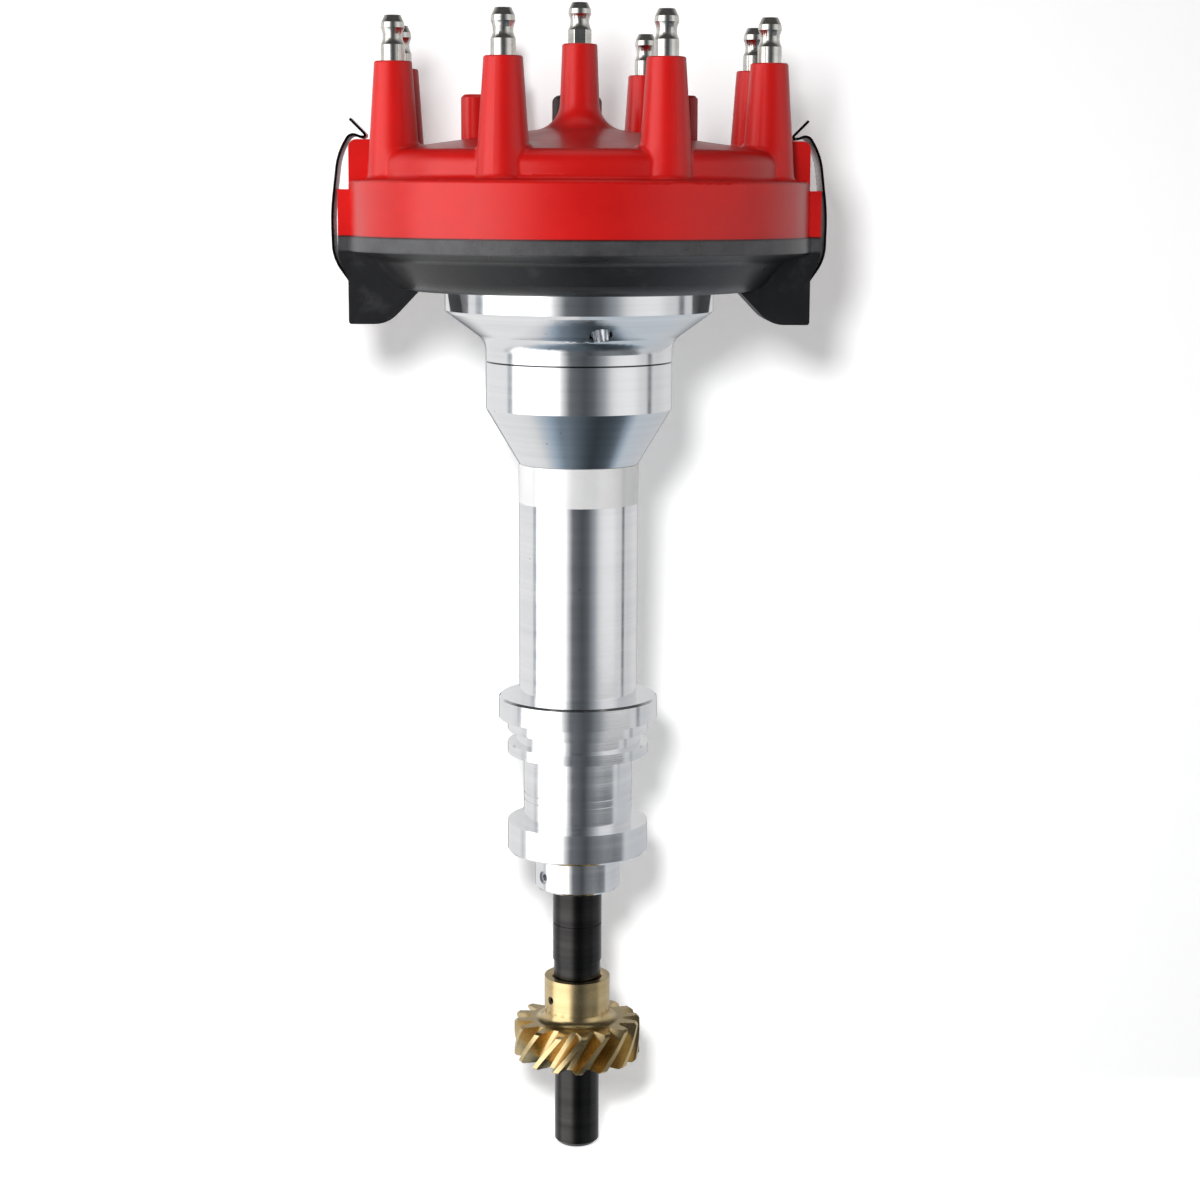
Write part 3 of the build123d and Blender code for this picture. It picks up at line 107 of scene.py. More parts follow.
# %% Sizes of the pale sheet
floor_gap = 0.0005
floor_height = cad_low[2] - floor_gap
wall_distance = 0.046
wall_lean = math.tan(look_down)
wall_foot = wall_distance + wall_lean * floor_height
sheet_half_width = 1.8
sheet_front = -2.4
sheet_top = 1.6
fold_width = 0.01
print("the wall starts", round(wall_foot, 4), "m behind the shaft")

# %% Build the pale sheet
sheet_mesh = bpy.data.meshes.new("pale_sheet")
sheet_form = bmesh.new()
corners = [
    sheet_form.verts.new((-sheet_half_width, sheet_front, floor_height)),
    sheet_form.verts.new((-sheet_half_width, wall_foot, floor_height)),
    sheet_form.verts.new((-sheet_half_width, wall_distance + wall_lean * sheet_top, sheet_top)),
]
strip = [sheet_form.edges.new(pair) for pair in zip(corners, corners[1:])]
pulled = bmesh.ops.extrude_edge_only(sheet_form, edges=strip)["geom"]
pulled_corners = [item for item in pulled if isinstance(item, bmesh.types.BMVert)]
bmesh.ops.translate(sheet_form, verts=pulled_corners, vec=(2 * sheet_half_width, 0, 0))
same_place = 1e-6
fold = [
    edge for edge in sheet_form.edges
    if all(math.hypot(v.co.y - wall_foot, v.co.z - floor_height) < same_place for v in edge.verts)
]
bmesh.ops.bevel(
    sheet_form, geom=fold, affect="EDGES", offset=fold_width, segments=8, profile=0.5, material=-1
)
for face in sheet_form.faces:
    face.normal_update()
    if face.normal.z < 0 or face.normal.y > 0:
        face.normal_flip()
    face.smooth = True
sheet_form.to_mesh(sheet_mesh)
sheet_form.free()
pale_sheet = bpy.data.objects.new("pale_sheet", sheet_mesh)
scene.collection.objects.link(pale_sheet)
pale_sheet.visible_glossy = False
print("sheet faces", len(sheet_mesh.polygons))

# %% [markdown]
# ## A short way to write node trees
# Every tree needs the same few steps: add a node, set its inputs, join it up. One helper does all three, and
# an input may be a plain value or the output of another node. The others are named for the sums, blends and
# noises that come up most.

# %% Node helpers
def put(tree, kind, inputs=None, **settings):
    """Adds a node of this kind, with its settings and its inputs, and returns it."""
    node = tree.nodes.new(kind)
    for key, value in settings.items():
        setattr(node, key, value)
    for key, value in (inputs or {}).items():
        if isinstance(value, bpy.types.NodeSocket):
            tree.links.new(value, node.inputs[key])
        else:
            node.inputs[key].default_value = value
    return node


def reckon(tree, operation, *values):
    """Does one sum with numbers or outputs, and returns the output."""
    return put(tree, "ShaderNodeMath", dict(enumerate(values)), operation=operation).outputs[0]


def between(tree, factor, low, high, reach=(0.35, 0.65)):
    """A number that goes from low to high while the factor goes through this reach."""
    steps = {"Value": factor, 1: reach[0], 2: reach[1], 3: low, 4: high}
    return put(tree, "ShaderNodeMapRange", steps).outputs[0]


def blend(tree, share, base, top):
    """Lays the top colour over the base by this share."""
    return put(tree, "ShaderNodeMix", {0: share, 6: base, 7: top}, data_type="RGBA").outputs[2]


def either(tree, share, first, second):
    """Mixes two shaders by this share, such as by the kind of a ray."""
    return put(tree, "ShaderNodeMixShader", {0: share, 1: first, 2: second}).outputs[0]


def noise(tree, path, scale, detail, roughness):
    """A cloudy noise along this path."""
    looks = {"Vector": path, "Scale": scale, "Detail": detail, "Roughness": roughness}
    return put(tree, "ShaderNodeTexNoise", looks).outputs[0]


# %% [markdown]
# ## Finish of the stage
# To the camera the sheet is nearly white, with only part of the shadow showing, as in a catalogue picture.
# More lamps would do it too, but they would burn out the distributor, so the sheet gets a light of its own
# that only the camera sees, and the floor gets more of it than the wall. The sheet's back is see-through, so
# that views from behind aren't blocked.

# %% Finish the pale sheet
wall_glow = 0.355
floor_glow = 0.68
wall_to_floor = (0.3, 1.0)
sheet_finish = bpy.data.materials.new("pale_sheet")
sheet_finish.use_nodes = True
tree = sheet_finish.node_tree
tree.nodes.clear()
paper = put(tree, "ShaderNodeBsdfDiffuse", {"Color": (0.86, 0.86, 0.86, 1)}).outputs[0]
side = put(tree, "ShaderNodeNewGeometry")
facing = put(tree, "ShaderNodeSeparateXYZ", {0: side.outputs["Normal"]})
glow = between(tree, facing.outputs["Z"], wall_glow, floor_glow, wall_to_floor)
white = put(tree, "ShaderNodeEmission", {"Color": (1, 1, 1, 1), "Strength": glow}).outputs[0]
lifted = put(tree, "ShaderNodeAddShader", {0: paper, 1: white}).outputs[0]
rays = put(tree, "ShaderNodeLightPath")
front = either(tree, rays.outputs["Is Camera Ray"], paper, lifted)
clear = put(tree, "ShaderNodeBsdfTransparent").outputs[0]
both_sides = either(tree, side.outputs["Backfacing"], front, clear)
put(tree, "ShaderNodeOutputMaterial", {"Surface": both_sides})
sheet_mesh.materials.append(sheet_finish)
print("sheet finish made of", len(tree.nodes), "nodes")

# %% [markdown]
# ## Which lamp lights what
# One set of lamps would have to suit both the distributor and its shadow. Light linking parts them: a lamp
# lights only what its collection lets in. The studio lamps get a collection that leaves the sheet out, and
# the lamp that throws the shadow gets one that holds nothing but the sheet.

# %% Share out the light
studio_light = bpy.data.collections.new("studio_light")
studio_light.objects.link(pale_sheet)
studio_light.collection_objects[0].light_linking.link_state = "EXCLUDE"
sheet_light = bpy.data.collections.new("sheet_light")
sheet_light.objects.link(pale_sheet)
print("the sheet is left out of", studio_light.name, "and alone in", sheet_light.name)

# %% [markdown]
# ## Lamps
# A strong panel on the left, two weak ones on the right and above, and a wide soft beam from the front give
# the mouldings their shape. Metal doesn't mirror them, because its stripes are painted in the next steps. A
# small round lamp throws the shadow. It stands in front of the camera, a little to its left and above, and
# so near that the shadow spreads to the right and down, as in the photograph.

# %% Lamp helpers
lit_middle = Vector((0, 0, 0.05))


def hang(name, lamp, place, aim, lit):
    """Hangs a lamp here, aimed along this arrow, that lights only what one collection lets in."""
    lamp_object = bpy.data.objects.new(name, lamp)
    scene.collection.objects.link(lamp_object)
    turned = aim.to_track_quat("-Z", "Y").to_matrix().to_4x4()
    lamp_object.matrix_world = Matrix.Translation(place) @ turned
    lamp_object.visible_camera = False
    lamp_object.visible_glossy = False
    lamp_object.light_linking.receiver_collection = lit
    print(name, "lights by", lit.name)


def panel(name, side_angle, height, distance, width, tall, brightness):
    """A soft panel lamp aimed at the middle of the distributor."""
    lamp = bpy.data.lights.new(name, "AREA")
    lamp.shape = "RECTANGLE"
    lamp.size = width
    lamp.size_y = tall
    lamp.energy = brightness * math.pi * width * tall
    angle = math.radians(side_angle)
    place = Vector((distance * math.sin(angle), -distance * math.cos(angle), height))
    hang(name, lamp, place, lit_middle - place, studio_light)


# %% Hang the lamps
panel("left_panel", side_angle=-74, height=-0.05, distance=1.10, width=1.3, tall=1.1, brightness=4.6)
panel("right_panel", side_angle=72, height=0.05, distance=1.10, width=0.8, tall=1.3, brightness=0.35)
panel("top_panel", side_angle=-20, height=1.30, distance=0.25, width=1.0, tall=0.9, brightness=0.08)

front_lamp = bpy.data.lights.new("front_lamp", "SUN")
front_lamp.energy = 1.9
front_lamp.angle = math.radians(9)
hang("front_lamp", front_lamp, Vector((0, 0, 0)), Vector((0.19, 1.0, -0.08)), studio_light)

shadow_lamp = bpy.data.lights.new("shadow_lamp", "AREA")
shadow_lamp.shape = "DISK"
shadow_lamp.size = 0.095
shadow_lamp.energy = 2.75
shadow_place = Vector((-0.076, -0.52, 0.238))
shadow_middle = Vector((0, 0, 0.03))
hang("shadow_lamp", shadow_lamp, shadow_place, shadow_middle - shadow_place, sheet_light)

# %% [markdown]
# ## The room that the metal mirrors
# A polished cylinder shows the room round it as upright stripes. A room of real walls would need moving by
# hand until each stripe fell right, so the world is painted with them: a wide white wall on the left, the
# photographer's dark gap in front, and dimmer walls on the right. Upright faces mirror the eye level, lower
# ones the knee level and the taper the ground, while edges and slopes that look up mirror the ledge and the
# sky level. Each stop gives a direction in degrees round the distributor, with 0 towards the camera and 90
# to the right, and the brightness there.

# %% Brightness of each level
sky_level = (
    (-180, 0.04), (-158, 0.06), (-140, 0.45), (-104, 0.50), (-92, 1.60), (-58, 1.60), (-46, 0.45),
    (-20, 0.18), (10, 0.10), (28, 0.25), (60, 0.70), (84, 0.45), (120, 0.40), (140, 0.35), (158, 0.06),
    (180, 0.04),
)
ledge_level = (
    (-180, 0.85), (-143, 0.82), (-112, 0.84), (-98, 0.50), (-88, 2.00), (-32, 2.00), (-22, 0.80),
    (-13, 0.16), (6, 0.08), (17, 0.12), (30, 0.36), (48, 0.84), (70, 0.86), (88, 0.60), (112, 0.64),
    (180, 0.70),
)
eye_level = (
    (-180, 0.12), (-172, 0.20), (-160, 0.84), (-112, 0.84), (-101, 0.84), (-98, 0.44), (-92, 0.42),
    (-88, 2.00), (-32, 2.00), (-22, 0.80), (-13, 0.16), (-4, 0.12), (6, 0.08), (17, 0.12), (30, 0.36),
    (40, 0.72), (48, 0.84), (60, 0.88), (70, 0.86), (80, 0.70), (91, 0.66), (94, 0.20), (98, 0.18),
    (101, 0.66), (112, 0.64), (135, 0.72), (160, 0.68), (172, 0.24), (180, 0.12),
)
knee_level = (
    (-180, 0.12), (-172, 0.20), (-160, 0.84), (-143, 0.82), (-112, 0.84), (-104, 0.62), (-98, 0.80),
    (-88, 2.00), (-32, 2.00), (-22, 0.70), (-14, 0.17), (0, 0.12), (12, 0.07), (25, 0.16), (45, 0.22),
    (62, 0.17), (75, 0.22), (84, 0.60), (112, 0.56), (160, 0.57), (172, 0.22), (180, 0.12),
)
ground = (
    (-180, 0.85), (-105, 0.80), (-92, 0.74), (-77, 0.56), (-61, 0.40), (-45, 0.23), (-28, 0.19),
    (-11, 0.13), (7, 0.09), (24, 0.060), (41, 0.042), (57, 0.056), (73, 0.078), (84, 0.13), (93, 0.33),
    (104, 0.56), (180, 0.60),
)
print("stops", [len(stops) for stops in (ground, knee_level, eye_level, ledge_level, sky_level)])

# %% [markdown]
# ## From stops to stripes
# A world's Generated coordinate is the direction of the ray, so its X and Y give the side that is looked to,
# and its Z the height, from -1 straight down to 1 straight up. A colour ramp turns the side into stripes, and
# one level gives way to the next over a short reach of heights. Dark parts are a little blue, as shade is.

# %% World helpers
world = bpy.data.worlds.new("studio")
scene.world = world
world.use_nodes = True
tree = world.node_tree
tree.nodes.clear()
gaze = put(tree, "ShaderNodeTexCoord")
split = put(tree, "ShaderNodeSeparateXYZ", {0: gaze.outputs["Generated"]})
forward = reckon(tree, "MULTIPLY", split.outputs["Y"], -1.0)
turn = reckon(tree, "ARCTAN2", split.outputs["X"], forward)
way_round = reckon(tree, "MULTIPLY_ADD", turn, 0.5 / math.pi, 0.5)
cool_below = 0.7
coolest_below = 0.4


def stripes(stops, coolness):
    """The room's brightness all round at one level, bluer by this share where it is dark."""
    ramp = put(tree, "ShaderNodeValToRGB", {0: way_round})
    places = ramp.color_ramp.elements
    while len(places) < len(stops):
        places.new(0.5)
    for place, (direction, brightness) in zip(places, stops):
        place.position = (direction + 180) / 360
    for place, (direction, brightness) in zip(places, stops):
        depth = (cool_below - brightness) / (cool_below - coolest_below)
        cool = coolness * min(1.0, max(0.0, depth))
        place.color = (brightness * (1 - cool), brightness, brightness * (1 + cool), 1)
    return ramp.outputs[0]


def level(low, high, below, above):
    """Goes from one level of the room to the one above it, between these heights of the gaze."""
    return blend(tree, between(tree, split.outputs["Z"], 0.0, 1.0, (low, high)), below, above)


# %% Stack the levels
ground_coolness = 0.20
wall_coolness = 0.07
dark_ceiling = (0.07, 0.07, 0.07, 1)
bright_top = (0.65, 0.65, 0.65, 1)
mirrored_room = stripes(ground, ground_coolness)
for low, high, above in (
    (-0.70, -0.45, stripes(knee_level, wall_coolness)),
    (-0.235, -0.212, stripes(eye_level, wall_coolness)),
    (0.00, 0.06, stripes(ledge_level, wall_coolness)),
    (0.29, 0.42, stripes(sky_level, 0.0)),
    (0.48, 0.64, dark_ceiling),
    (0.90, 0.96, bright_top),
):
    mirrored_room = level(low, high, mirrored_room, above)
print("world has", len(tree.nodes), "nodes so far")

# %% [markdown]
# ## What each ray sees
# Reflections see the stripes and the camera sees a white page. All other light comes from a dim plain room,
# so that the bright stripes don't light the mouldings as well. The Standard view shows each colour as it is
# written.

# %% Finish the world
dim_below = (0.15, 0.153, 0.16, 1)
dim_above = (0.05, 0.051, 0.054, 1)
dim_reach = (-0.2, 0.5)


def glowing(colour):
    """A background of this colour at its plain strength."""
    return put(tree, "ShaderNodeBackground", {"Color": colour, "Strength": 1.0}).outputs[0]


rays = put(tree, "ShaderNodeLightPath")
dim_room = level(*dim_reach, dim_below, dim_above)
felt = either(tree, rays.outputs["Is Glossy Ray"], glowing(dim_room), glowing(mirrored_room))
seen = either(tree, rays.outputs["Is Camera Ray"], felt, glowing((1, 1, 1, 1)))
put(tree, "ShaderNodeOutputWorld", {"Surface": seen})
scene.view_settings.view_transform = "Standard"
print("world made of", len(tree.nodes), "nodes")

# %% [markdown]
# ## Shared effects
# Several finishes need the same effects: the fine skin of a moulded face, the rings that a lathe tool
# leaves, and the nicks that handling leaves. Each is a node group, so one change improves every finish.

# %% Group helper
def effect(name, inputs, outputs):
    """Starts a node group with these number inputs and outputs, and returns its tree and end nodes."""
    group = bpy.data.node_groups.new(name, "ShaderNodeTree")
    for title, value in inputs.items():
        socket = group.interface.new_socket(name=title, in_out="INPUT", socket_type="NodeSocketFloat")
        socket.default_value = value
    for title in outputs:
        group.interface.new_socket(name=title, in_out="OUTPUT", socket_type="NodeSocketFloat")
    return group, group.nodes.new("NodeGroupInput"), group.nodes.new("NodeGroupOutput")


# %% [markdown]
# ## Moulded skin
# A steel mould that was sparked or etched leaves a fine grain on the plastic, and the resin's flow leaves
# broad clouds in its colour. Two noises of different size give the two, without a picture.

# %% Moulded skin
skin, given, result = effect("moulded_skin", {"Grain size": 0.0006, "Cloud size": 0.02}, ["Height", "Cloud"])
place = put(skin, "ShaderNodeTexCoord").outputs["Object"]
grain_scale = reckon(skin, "DIVIDE", 1.0, given.outputs["Grain size"])
cloud_scale = reckon(skin, "DIVIDE", 1.0, given.outputs["Cloud size"])
skin.links.new(noise(skin, place, grain_scale, detail=3.0, roughness=0.6), result.inputs["Height"])
skin.links.new(noise(skin, place, cloud_scale, detail=4.0, roughness=0.65), result.inputs["Cloud"])
print("group", skin.name)

# %% [markdown]
# ## Lathe rings
# A lathe tool leaves rings round the axis. A wave texture would make them all alike, so a noise is read by
# the distance from the axis and the height instead. It changes only slowly with the turn round the axis, by
# which each ring fades in and out.

# %% Lathe rings
drift_per_radian = 0.00018
streak_scale = 260.0
rings, given, result = effect("lathe_rings", {"Ring size": 0.0004}, ["Height", "Streaks"])
place = put(rings, "ShaderNodeTexCoord").outputs["Object"]
axes = put(rings, "ShaderNodeSeparateXYZ", {0: place}).outputs
flat = put(rings, "ShaderNodeCombineXYZ", {"X": axes["X"], "Y": axes["Y"], "Z": 0.0}).outputs[0]
reach = put(rings, "ShaderNodeVectorMath", {0: flat}, operation="LENGTH").outputs["Value"]
slow_turn = reckon(rings, "MULTIPLY", reckon(rings, "ARCTAN2", axes["Y"], axes["X"]), drift_per_radian)
spun = put(rings, "ShaderNodeCombineXYZ", {"X": reach, "Y": slow_turn, "Z": axes["Z"]}).outputs[0]
ring_scale = reckon(rings, "DIVIDE", 1.0, given.outputs["Ring size"])
rings.links.new(noise(rings, spun, ring_scale, detail=4.0, roughness=0.7), result.inputs["Height"])
rings.links.new(noise(rings, spun, streak_scale, detail=5.0, roughness=0.65), result.inputs["Streaks"])
print("group", rings.name)

# %% [markdown]
# ## Handling marks
# Knocks leave small nicks here and there, and fingers leave broad smears. The cells of a Voronoi texture
# place the nicks, and only a few cells keep theirs, since evenly spread ones would look like a pattern.

# %% Handling marks
nick_reach = 0.28
bare_share = 0.78
smear_scale = 55.0
marks, given, result = effect("handling_marks", {"Mark size": 0.003, "Amount": 0.35}, ["Nicks", "Smears"])
place = put(marks, "ShaderNodeTexCoord").outputs["Object"]
mark_scale = reckon(marks, "DIVIDE", 1.0, given.outputs["Mark size"])
cells = put(marks, "ShaderNodeTexVoronoi", {"Vector": place, "Scale": mark_scale, "Randomness": 1.0})
nick_edge = reckon(marks, "MULTIPLY", given.outputs["Amount"], nick_reach)
nick = between(marks, cells.outputs["Distance"], 0.0, 1.0, (nick_edge, 0.0))
chance = put(marks, "ShaderNodeSeparateColor", {0: cells.outputs["Color"]}).outputs[0]
kept = reckon(marks, "GREATER_THAN", chance, bare_share)
marks.links.new(reckon(marks, "MULTIPLY", nick, kept), result.inputs["Nicks"])
marks.links.new(noise(marks, place, smear_scale, detail=6.0, roughness=0.7), result.inputs["Smears"])
print("group", marks.name)

# %% [markdown]
# ## Building a finish
# A finish is one Principled BSDF. Its steady values are typed on its own sockets, and only what changes over
# the surface comes from the groups. These helpers start the material, place an effect in it, and join what
# changes to its colour, its roughness and its bumps.

# %% Finish helpers
def finish(name, **steady):
    """Starts a material and returns it with its tree and its Principled BSDF."""
    material = bpy.data.materials.new(name)
    material.use_nodes = True
    tree = material.node_tree
    tree.nodes.clear()
    shader = put(tree, "ShaderNodeBsdfPrincipled")
    put(tree, "ShaderNodeOutputMaterial", {"Surface": shader.outputs[0]})
    for title, value in steady.items():
        shader.inputs[title.replace("_", " ")].default_value = value
    return material, tree, shader


def use(tree, group, **values):
    """Places a shared effect in a material and returns its outputs."""
    node = put(tree, "ShaderNodeGroup", node_tree=group)
    for title, value in values.items():
        node.inputs[title.replace("_", " ")].default_value = value
    return node.outputs


def paint(tree, shader, colour, roughness):
    """Joins a changing colour and roughness to the shader."""
    tree.links.new(colour, shader.inputs["Base Color"])
    tree.links.new(roughness, shader.inputs["Roughness"])


def bump(tree, shader, height, depth, strength=0.5):
    """Lets a height raise and sink the surface by this depth in metres."""
    node = put(tree, "ShaderNodeBump", {"Strength": strength, "Distance": depth, "Height": height})
    tree.links.new(node.outputs[0], shader.inputs["Normal"])


# %% [markdown]
# ## Colours that follow the surface
# A colour seldom stays the same all over a real piece. It drifts between two tints, other colours lie over
# it in places, and a groove or a rim shows as a thin ring at one height, which every piece here can read
# from its own coordinates, as none is moved from where the model has it.

# %% Colour helpers
def tint(tree, factor, low, high, reach=(0.3, 0.7)):
    """A colour that goes from low to high while the factor goes through this reach."""
    ramp = put(tree, "ShaderNodeValToRGB", {0: factor})
    ends = ramp.color_ramp.elements
    for end, position, colour in zip(ends, reach, (low, high)):
        end.position = position
        end.color = (*colour, 1)
    return ramp.outputs[0]


def over(tree, share, base, colour):
    """Lays a plain colour over another by this share."""
    return blend(tree, share, base, (*colour, 1))


def ring(tree, middle, half_width, softness):
    """One at the heights of this ring and nothing at all others."""
    place = put(tree, "ShaderNodeTexCoord").outputs["Object"]
    height = put(tree, "ShaderNodeSeparateXYZ", {0: place}).outputs["Z"]
    away = reckon(tree, "ABSOLUTE", reckon(tree, "SUBTRACT", height, middle))
    return between(tree, away, 1.0, 0.0, (half_width - softness, half_width + softness))


# %% [markdown]
# ## Red moulding
# The cap is a glossy red moulding. Its grain is barely visible, its colour drifts a little, because the
# resin flows before it sets, and dust sits on it in specks. Where it meets the bowl, a thin dark line shows
# the seam. A second solid could make the seam too, but it is only shade, so a ring of colour does.

# %% Red moulding
rim_height = 0.1336
dust = (0.75, 0.28, 0.24)
seam_shade = (0.05, 0.003, 0.003)
red_moulding, tree, shader = finish("red_moulding", Coat_Weight=0.08, Coat_Roughness=0.16, IOR=1.48)
face = use(tree, skin, Grain_size=0.0007, Cloud_size=0.03)
worn = use(tree, marks, Mark_size=0.0022, Amount=0.16)
reds = tint(tree, face["Cloud"], (0.52, 0.006, 0.005), (0.62, 0.010, 0.008))
dusted = over(tree, between(tree, worn["Nicks"], 0.0, 0.55, (0.0, 1.0)), reds, dust)
seam = ring(tree, rim_height, half_width=0.0003, softness=0.00015)
paint(tree, shader, over(tree, seam, dusted, seam_shade), between(tree, face["Cloud"], 0.29, 0.40))
bump(tree, shader, face["Height"], depth=0.00004, strength=0.35)
print("made", red_moulding.name)

# %% [markdown]
# ## Black moulding
# The bowl is black with a satin face. Hands and tools have rubbed it grey in patches. The lip under the cap
# also gets a lighter grey band in patches, a painted sheen where the lip catches the light. A bowl of one black
# would look like a hole in the picture.

# %% Black moulding
lip_below_rim = 0.0019
scuff_grey = (0.07, 0.07, 0.072)
nick_grey = (0.16, 0.16, 0.165)
lip_sheen_grey = (0.10, 0.10, 0.105)
black_moulding, tree, shader = finish("black_moulding", IOR=1.5)
face = use(tree, skin, Grain_size=0.0009, Cloud_size=0.025)
worn = use(tree, marks, Mark_size=0.0030, Amount=0.20)
blacks = tint(tree, face["Cloud"], (0.006, 0.006, 0.0065), (0.013, 0.013, 0.0145))
scuffed = over(tree, between(tree, worn["Smears"], 0.0, 0.40, (0.56, 0.74)), blacks, scuff_grey)
nicked = over(tree, worn["Nicks"], scuffed, nick_grey)
# Painted sheen: a lighter grey band at the lip's height, laid in the smear patches.
lip_sheen_band = ring(tree, rim_height - lip_below_rim, half_width=0.0018, softness=0.0003)
lip_sheen_share = reckon(tree, "MULTIPLY", lip_sheen_band, between(tree, worn["Smears"], 0.25, 0.75))
scuffed_and_lip_sheen = over(tree, lip_sheen_share, nicked, lip_sheen_grey)
paint(tree, shader, scuffed_and_lip_sheen, between(tree, worn["Smears"], 0.25, 0.42))
bump(tree, shader, face["Height"], depth=0.00006)
print("made", black_moulding.name)

# %% [markdown]
# ## Turned aluminium
# The housing was cut on a lathe and left bright. Its rings are far finer than a millimetre and streak the
# mirror image up and down, with a few dull bands and small dark nicks on top. One groove that is too narrow
# to catch any light is darkened, as it would be in the real piece.

# %% Turned aluminium
groove_height = 0.0998
nick_shade = (0.30, 0.31, 0.33)
groove_shade = (0.06, 0.06, 0.065)
turned_metal, tree, shader = finish("turned_metal", Metallic=1.0)
lathe = use(tree, rings, Ring_size=0.00035)
worn = use(tree, marks, Mark_size=0.0045, Amount=0.28)
bright = tint(tree, lathe["Streaks"], (0.80, 0.81, 0.83), (0.93, 0.93, 0.94))
nicked = over(tree, worn["Nicks"], bright, nick_shade)
groove = ring(tree, groove_height, half_width=0.00022, softness=0.00006)
streaked = between(tree, lathe["Streaks"], 0.07, 0.13)
smeared = between(tree, worn["Smears"], 0.0, 0.05)
paint(tree, shader, over(tree, groove, nicked, groove_shade), reckon(tree, "ADD", streaked, smeared))
bump(tree, shader, lathe["Height"], depth=0.000012, strength=0.35)
print("made", turned_metal.name)

# %% [markdown]
# ## Dark and bright metals
# One builder makes all the small metal finishes, because they differ only in colour, gloss and how coarse
# their rings or rolling marks are.

# %% Small metal finishes
nick_darkness = 0.45


def metal(name, dark, light, gloss, ring_size=0.0004, depth=0.00001, amount=0.25):
    """A metal finish between two tints, with this low and high roughness."""
    material, tree, shader = finish(name, Metallic=1.0)
    lathe = use(tree, rings, Ring_size=ring_size)
    worn = use(tree, marks, Mark_size=0.0025, Amount=amount)
    tone = tint(tree, lathe["Streaks"], dark, light)
    marked = over(tree, worn["Nicks"], tone, [nick_darkness * value for value in dark])
    paint(tree, shader, marked, between(tree, worn["Smears"], *gloss))
    bump(tree, shader, lathe["Height"], depth)
    print("made", name)
    return material


black_oxide = metal("black_oxide", (0.030, 0.029, 0.029), (0.055, 0.053, 0.052), (0.20, 0.34))
nickel = metal("nickel", (0.62, 0.60, 0.56), (0.80, 0.78, 0.73), (0.13, 0.22))
spring_steel = metal("spring_steel", (0.42, 0.41, 0.41), (0.60, 0.58, 0.58), (0.18, 0.34))
zinc_plate = metal("zinc_plate", (0.50, 0.52, 0.55), (0.66, 0.68, 0.70), (0.25, 0.42))
cut_steel = metal("cut_steel", (0.38, 0.38, 0.40), (0.54, 0.54, 0.56), (0.22, 0.38))
ball_steel = metal("ball_steel", (0.60, 0.60, 0.62), (0.75, 0.75, 0.77), (0.06, 0.14))
gear_brass = metal(
    "gear_brass", (0.57, 0.43, 0.21), (0.76, 0.59, 0.32), (0.18, 0.32),
    ring_size=0.0006, depth=0.00002, amount=0.4,
)
sheet_brass = metal("sheet_brass", (0.62, 0.44, 0.18), (0.78, 0.60, 0.30), (0.18, 0.30))
bush_bronze = metal("bush_bronze", (0.36, 0.22, 0.10), (0.52, 0.35, 0.18), (0.32, 0.48))

# %% [markdown]
# ## Spring clips
# The clips are pressed from thin strip. The rolled faces are bright, and the sheared edges are painted nearly
# black, a painted shade that draws them as thin dark lines. An edge faces along the pin that the clip turns on,
# so how far a face looks that way tells the two apart, at every angle of the clip.

# %% Clip steel
edge_painted_shade = (0.025, 0.023, 0.023)
clip_steel, tree, shader = finish("clip_steel", Metallic=1.0)
lathe = use(tree, rings, Ring_size=0.0006)
worn = use(tree, marks, Mark_size=0.0025, Amount=0.2)
rolled = tint(tree, worn["Smears"], (0.74, 0.70, 0.69), (0.88, 0.84, 0.83))
side = put(tree, "ShaderNodeNewGeometry")
facing = put(tree, "ShaderNodeSeparateXYZ", {0: side.outputs["Normal"]})
along_pin = reckon(tree, "ABSOLUTE", facing.outputs["Y"])
# Painted shade: faces that look along the pin, the sheared edges, are drawn nearly black.
sheared_edge_shade = between(tree, along_pin, 0.0, 1.0, (0.55, 0.85))
paint(tree, shader, over(tree, sheared_edge_shade, rolled, edge_painted_shade), between(tree, worn["Smears"], 0.22, 0.36))
bump(tree, shader, lathe["Height"], depth=0.000006, strength=0.3)
print("made", clip_steel.name)

# %% [markdown]
# ## Small dull finishes
# Carbon, rubber, the magnet, the coil's case, the rotor and the white film of the label differ only in tone,
# gloss and grain, so one builder makes them too. The film gets a little of metal's shine, as a thin plastic
# over a bright surface has.

# %% Dull finishes
def dull_finish(name, dark, light, gloss, grain_size=0.0005, depth=0.00004, sheen_of_metal=0.0):
    """A finish of moulded skin between two tints, with this low and high roughness."""
    material, tree, shader = finish(name, IOR=1.48, Metallic=sheen_of_metal)
    face = use(tree, skin, Grain_size=grain_size, Cloud_size=0.012)
    paint(tree, shader, tint(tree, face["Cloud"], dark, light), between(tree, face["Cloud"], *gloss))
    bump(tree, shader, face["Height"], depth)
    print("made", name)
    return material


carbon = dull_finish("carbon", (0.02, 0.02, 0.021), (0.05, 0.05, 0.052), (0.45, 0.65))
rubber = dull_finish("rubber", (0.012, 0.012, 0.012), (0.025, 0.025, 0.026), (0.55, 0.75))
magnet = dull_finish("magnet", (0.06, 0.06, 0.065), (0.11, 0.11, 0.115), (0.5, 0.7), grain_size=0.0003)
coil_case = dull_finish("coil_case", (0.02, 0.02, 0.022), (0.04, 0.04, 0.042), (0.35, 0.5))
rotor_moulding = dull_finish(
    "rotor_moulding", (0.50, 0.012, 0.014), (0.62, 0.02, 0.02), (0.35, 0.5), grain_size=0.0007
)
white_film = dull_finish(
    "white_film", (0.76, 0.76, 0.755), (0.82, 0.82, 0.815), (0.12, 0.18),
    grain_size=0.0004, depth=0.000004, sheen_of_metal=0.22,
)

# %% [markdown]
# ## Dressing the pieces
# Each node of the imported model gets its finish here, in one table that reads like a parts list.

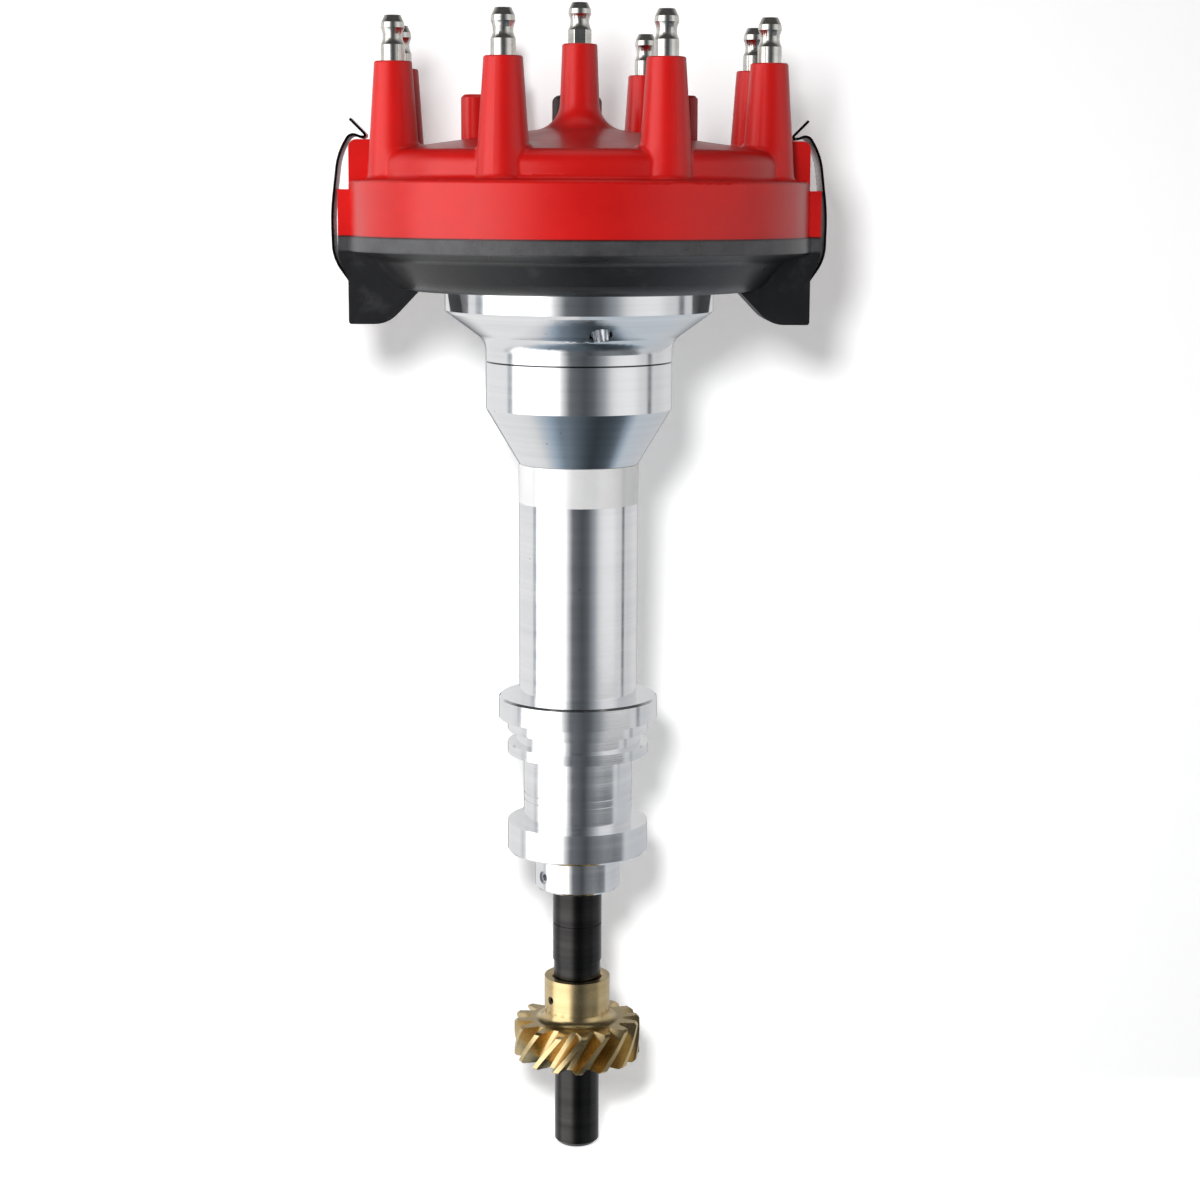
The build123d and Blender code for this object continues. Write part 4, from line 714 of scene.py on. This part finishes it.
# %% Give every node its finish
finishes = {
    "housing": turned_metal,
    "label": white_film,
    "bushing_set_screw": zinc_plate,
    "lower_bushing": bush_bronze,
    "bearing_outer_race": ball_steel,
    "bearing_inner_race": ball_steel,
    "bearing_balls": ball_steel,
    "bearing_cage": bush_bronze,
    "bearing_retaining_ring": spring_steel,
    "main_shaft": black_oxide,
    "drive_gear": gear_brass,
    "gear_roll_pin": spring_steel,
    "thrust_washer": zinc_plate,
    "advance_sleeve": cut_steel,
    "reluctor": cut_steel,
    "advance_plate": zinc_plate,
    "weight_pivots": cut_steel,
    "weight_washers": zinc_plate,
    "weight_clips": spring_steel,
    "weight_a": zinc_plate,
    "weight_b": zinc_plate,
    "advance_cam": cut_steel,
    "centre_plate": zinc_plate,
    "stop_bushing": bush_bronze,
    "centre_screw": zinc_plate,
    "advance_springs": spring_steel,
    "rotor": rotor_moulding,
    "rotor_blade": sheet_brass,
    "rotor_screws": zinc_plate,
    "cap_base": black_moulding,
    "clip_pins": spring_steel,
    "base_screws": zinc_plate,
    "wire_grommet": rubber,
    "pickup_bracket": zinc_plate,
    "pickup_coil": coil_case,
    "pickup_pole": cut_steel,
    "pickup_magnet": magnet,
    "pickup_screws": zinc_plate,
    "distributor_cap": red_moulding,
    "vent_cap": black_moulding,
    "plug_terminals": nickel,
    "coil_terminal": nickel,
    "carbon_button": carbon,
    "button_spring": spring_steel,
    "clip_left": clip_steel,
    "clip_right": clip_steel,
}
for node_name, node_finish in finishes.items():
    materials = nodes[node_name].data.materials
    materials.clear()
    materials.append(node_finish)
print("dressed", len(finishes), "of", len(nodes), "nodes")

# %% [markdown]
# ## The button's spring
# The carbon button is pressed on the rotor by a small coil spring, which shortens as the button slides up.
# The imported solid of the spring is stiff. Its coil could be wound again from a circle with spin, but a merged
# copy of the solid has the same turns and seat, so the copy stands for it here, hung on the housing.

# %% Stand a merged copy in for the spring
coil_mesh = nodes["button_spring"].data.copy()
coil_form = bmesh.new()
coil_form.from_mesh(coil_mesh)
bmesh.ops.remove_doubles(coil_form, verts=coil_form.verts, dist=same_place)
coil_form.to_mesh(coil_mesh)
coil_form.free()
button_coil = bpy.data.objects.new("button_coil", coil_mesh)
scene.collection.objects.link(button_coil)
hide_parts("button_spring")
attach(button_coil, "housing")
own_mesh(button_coil)

# %% [markdown]
# ## Finish
# The finished model must stay as large as the imported one, whose box is measured when it is loaded.

# %% Finish
print("finished")
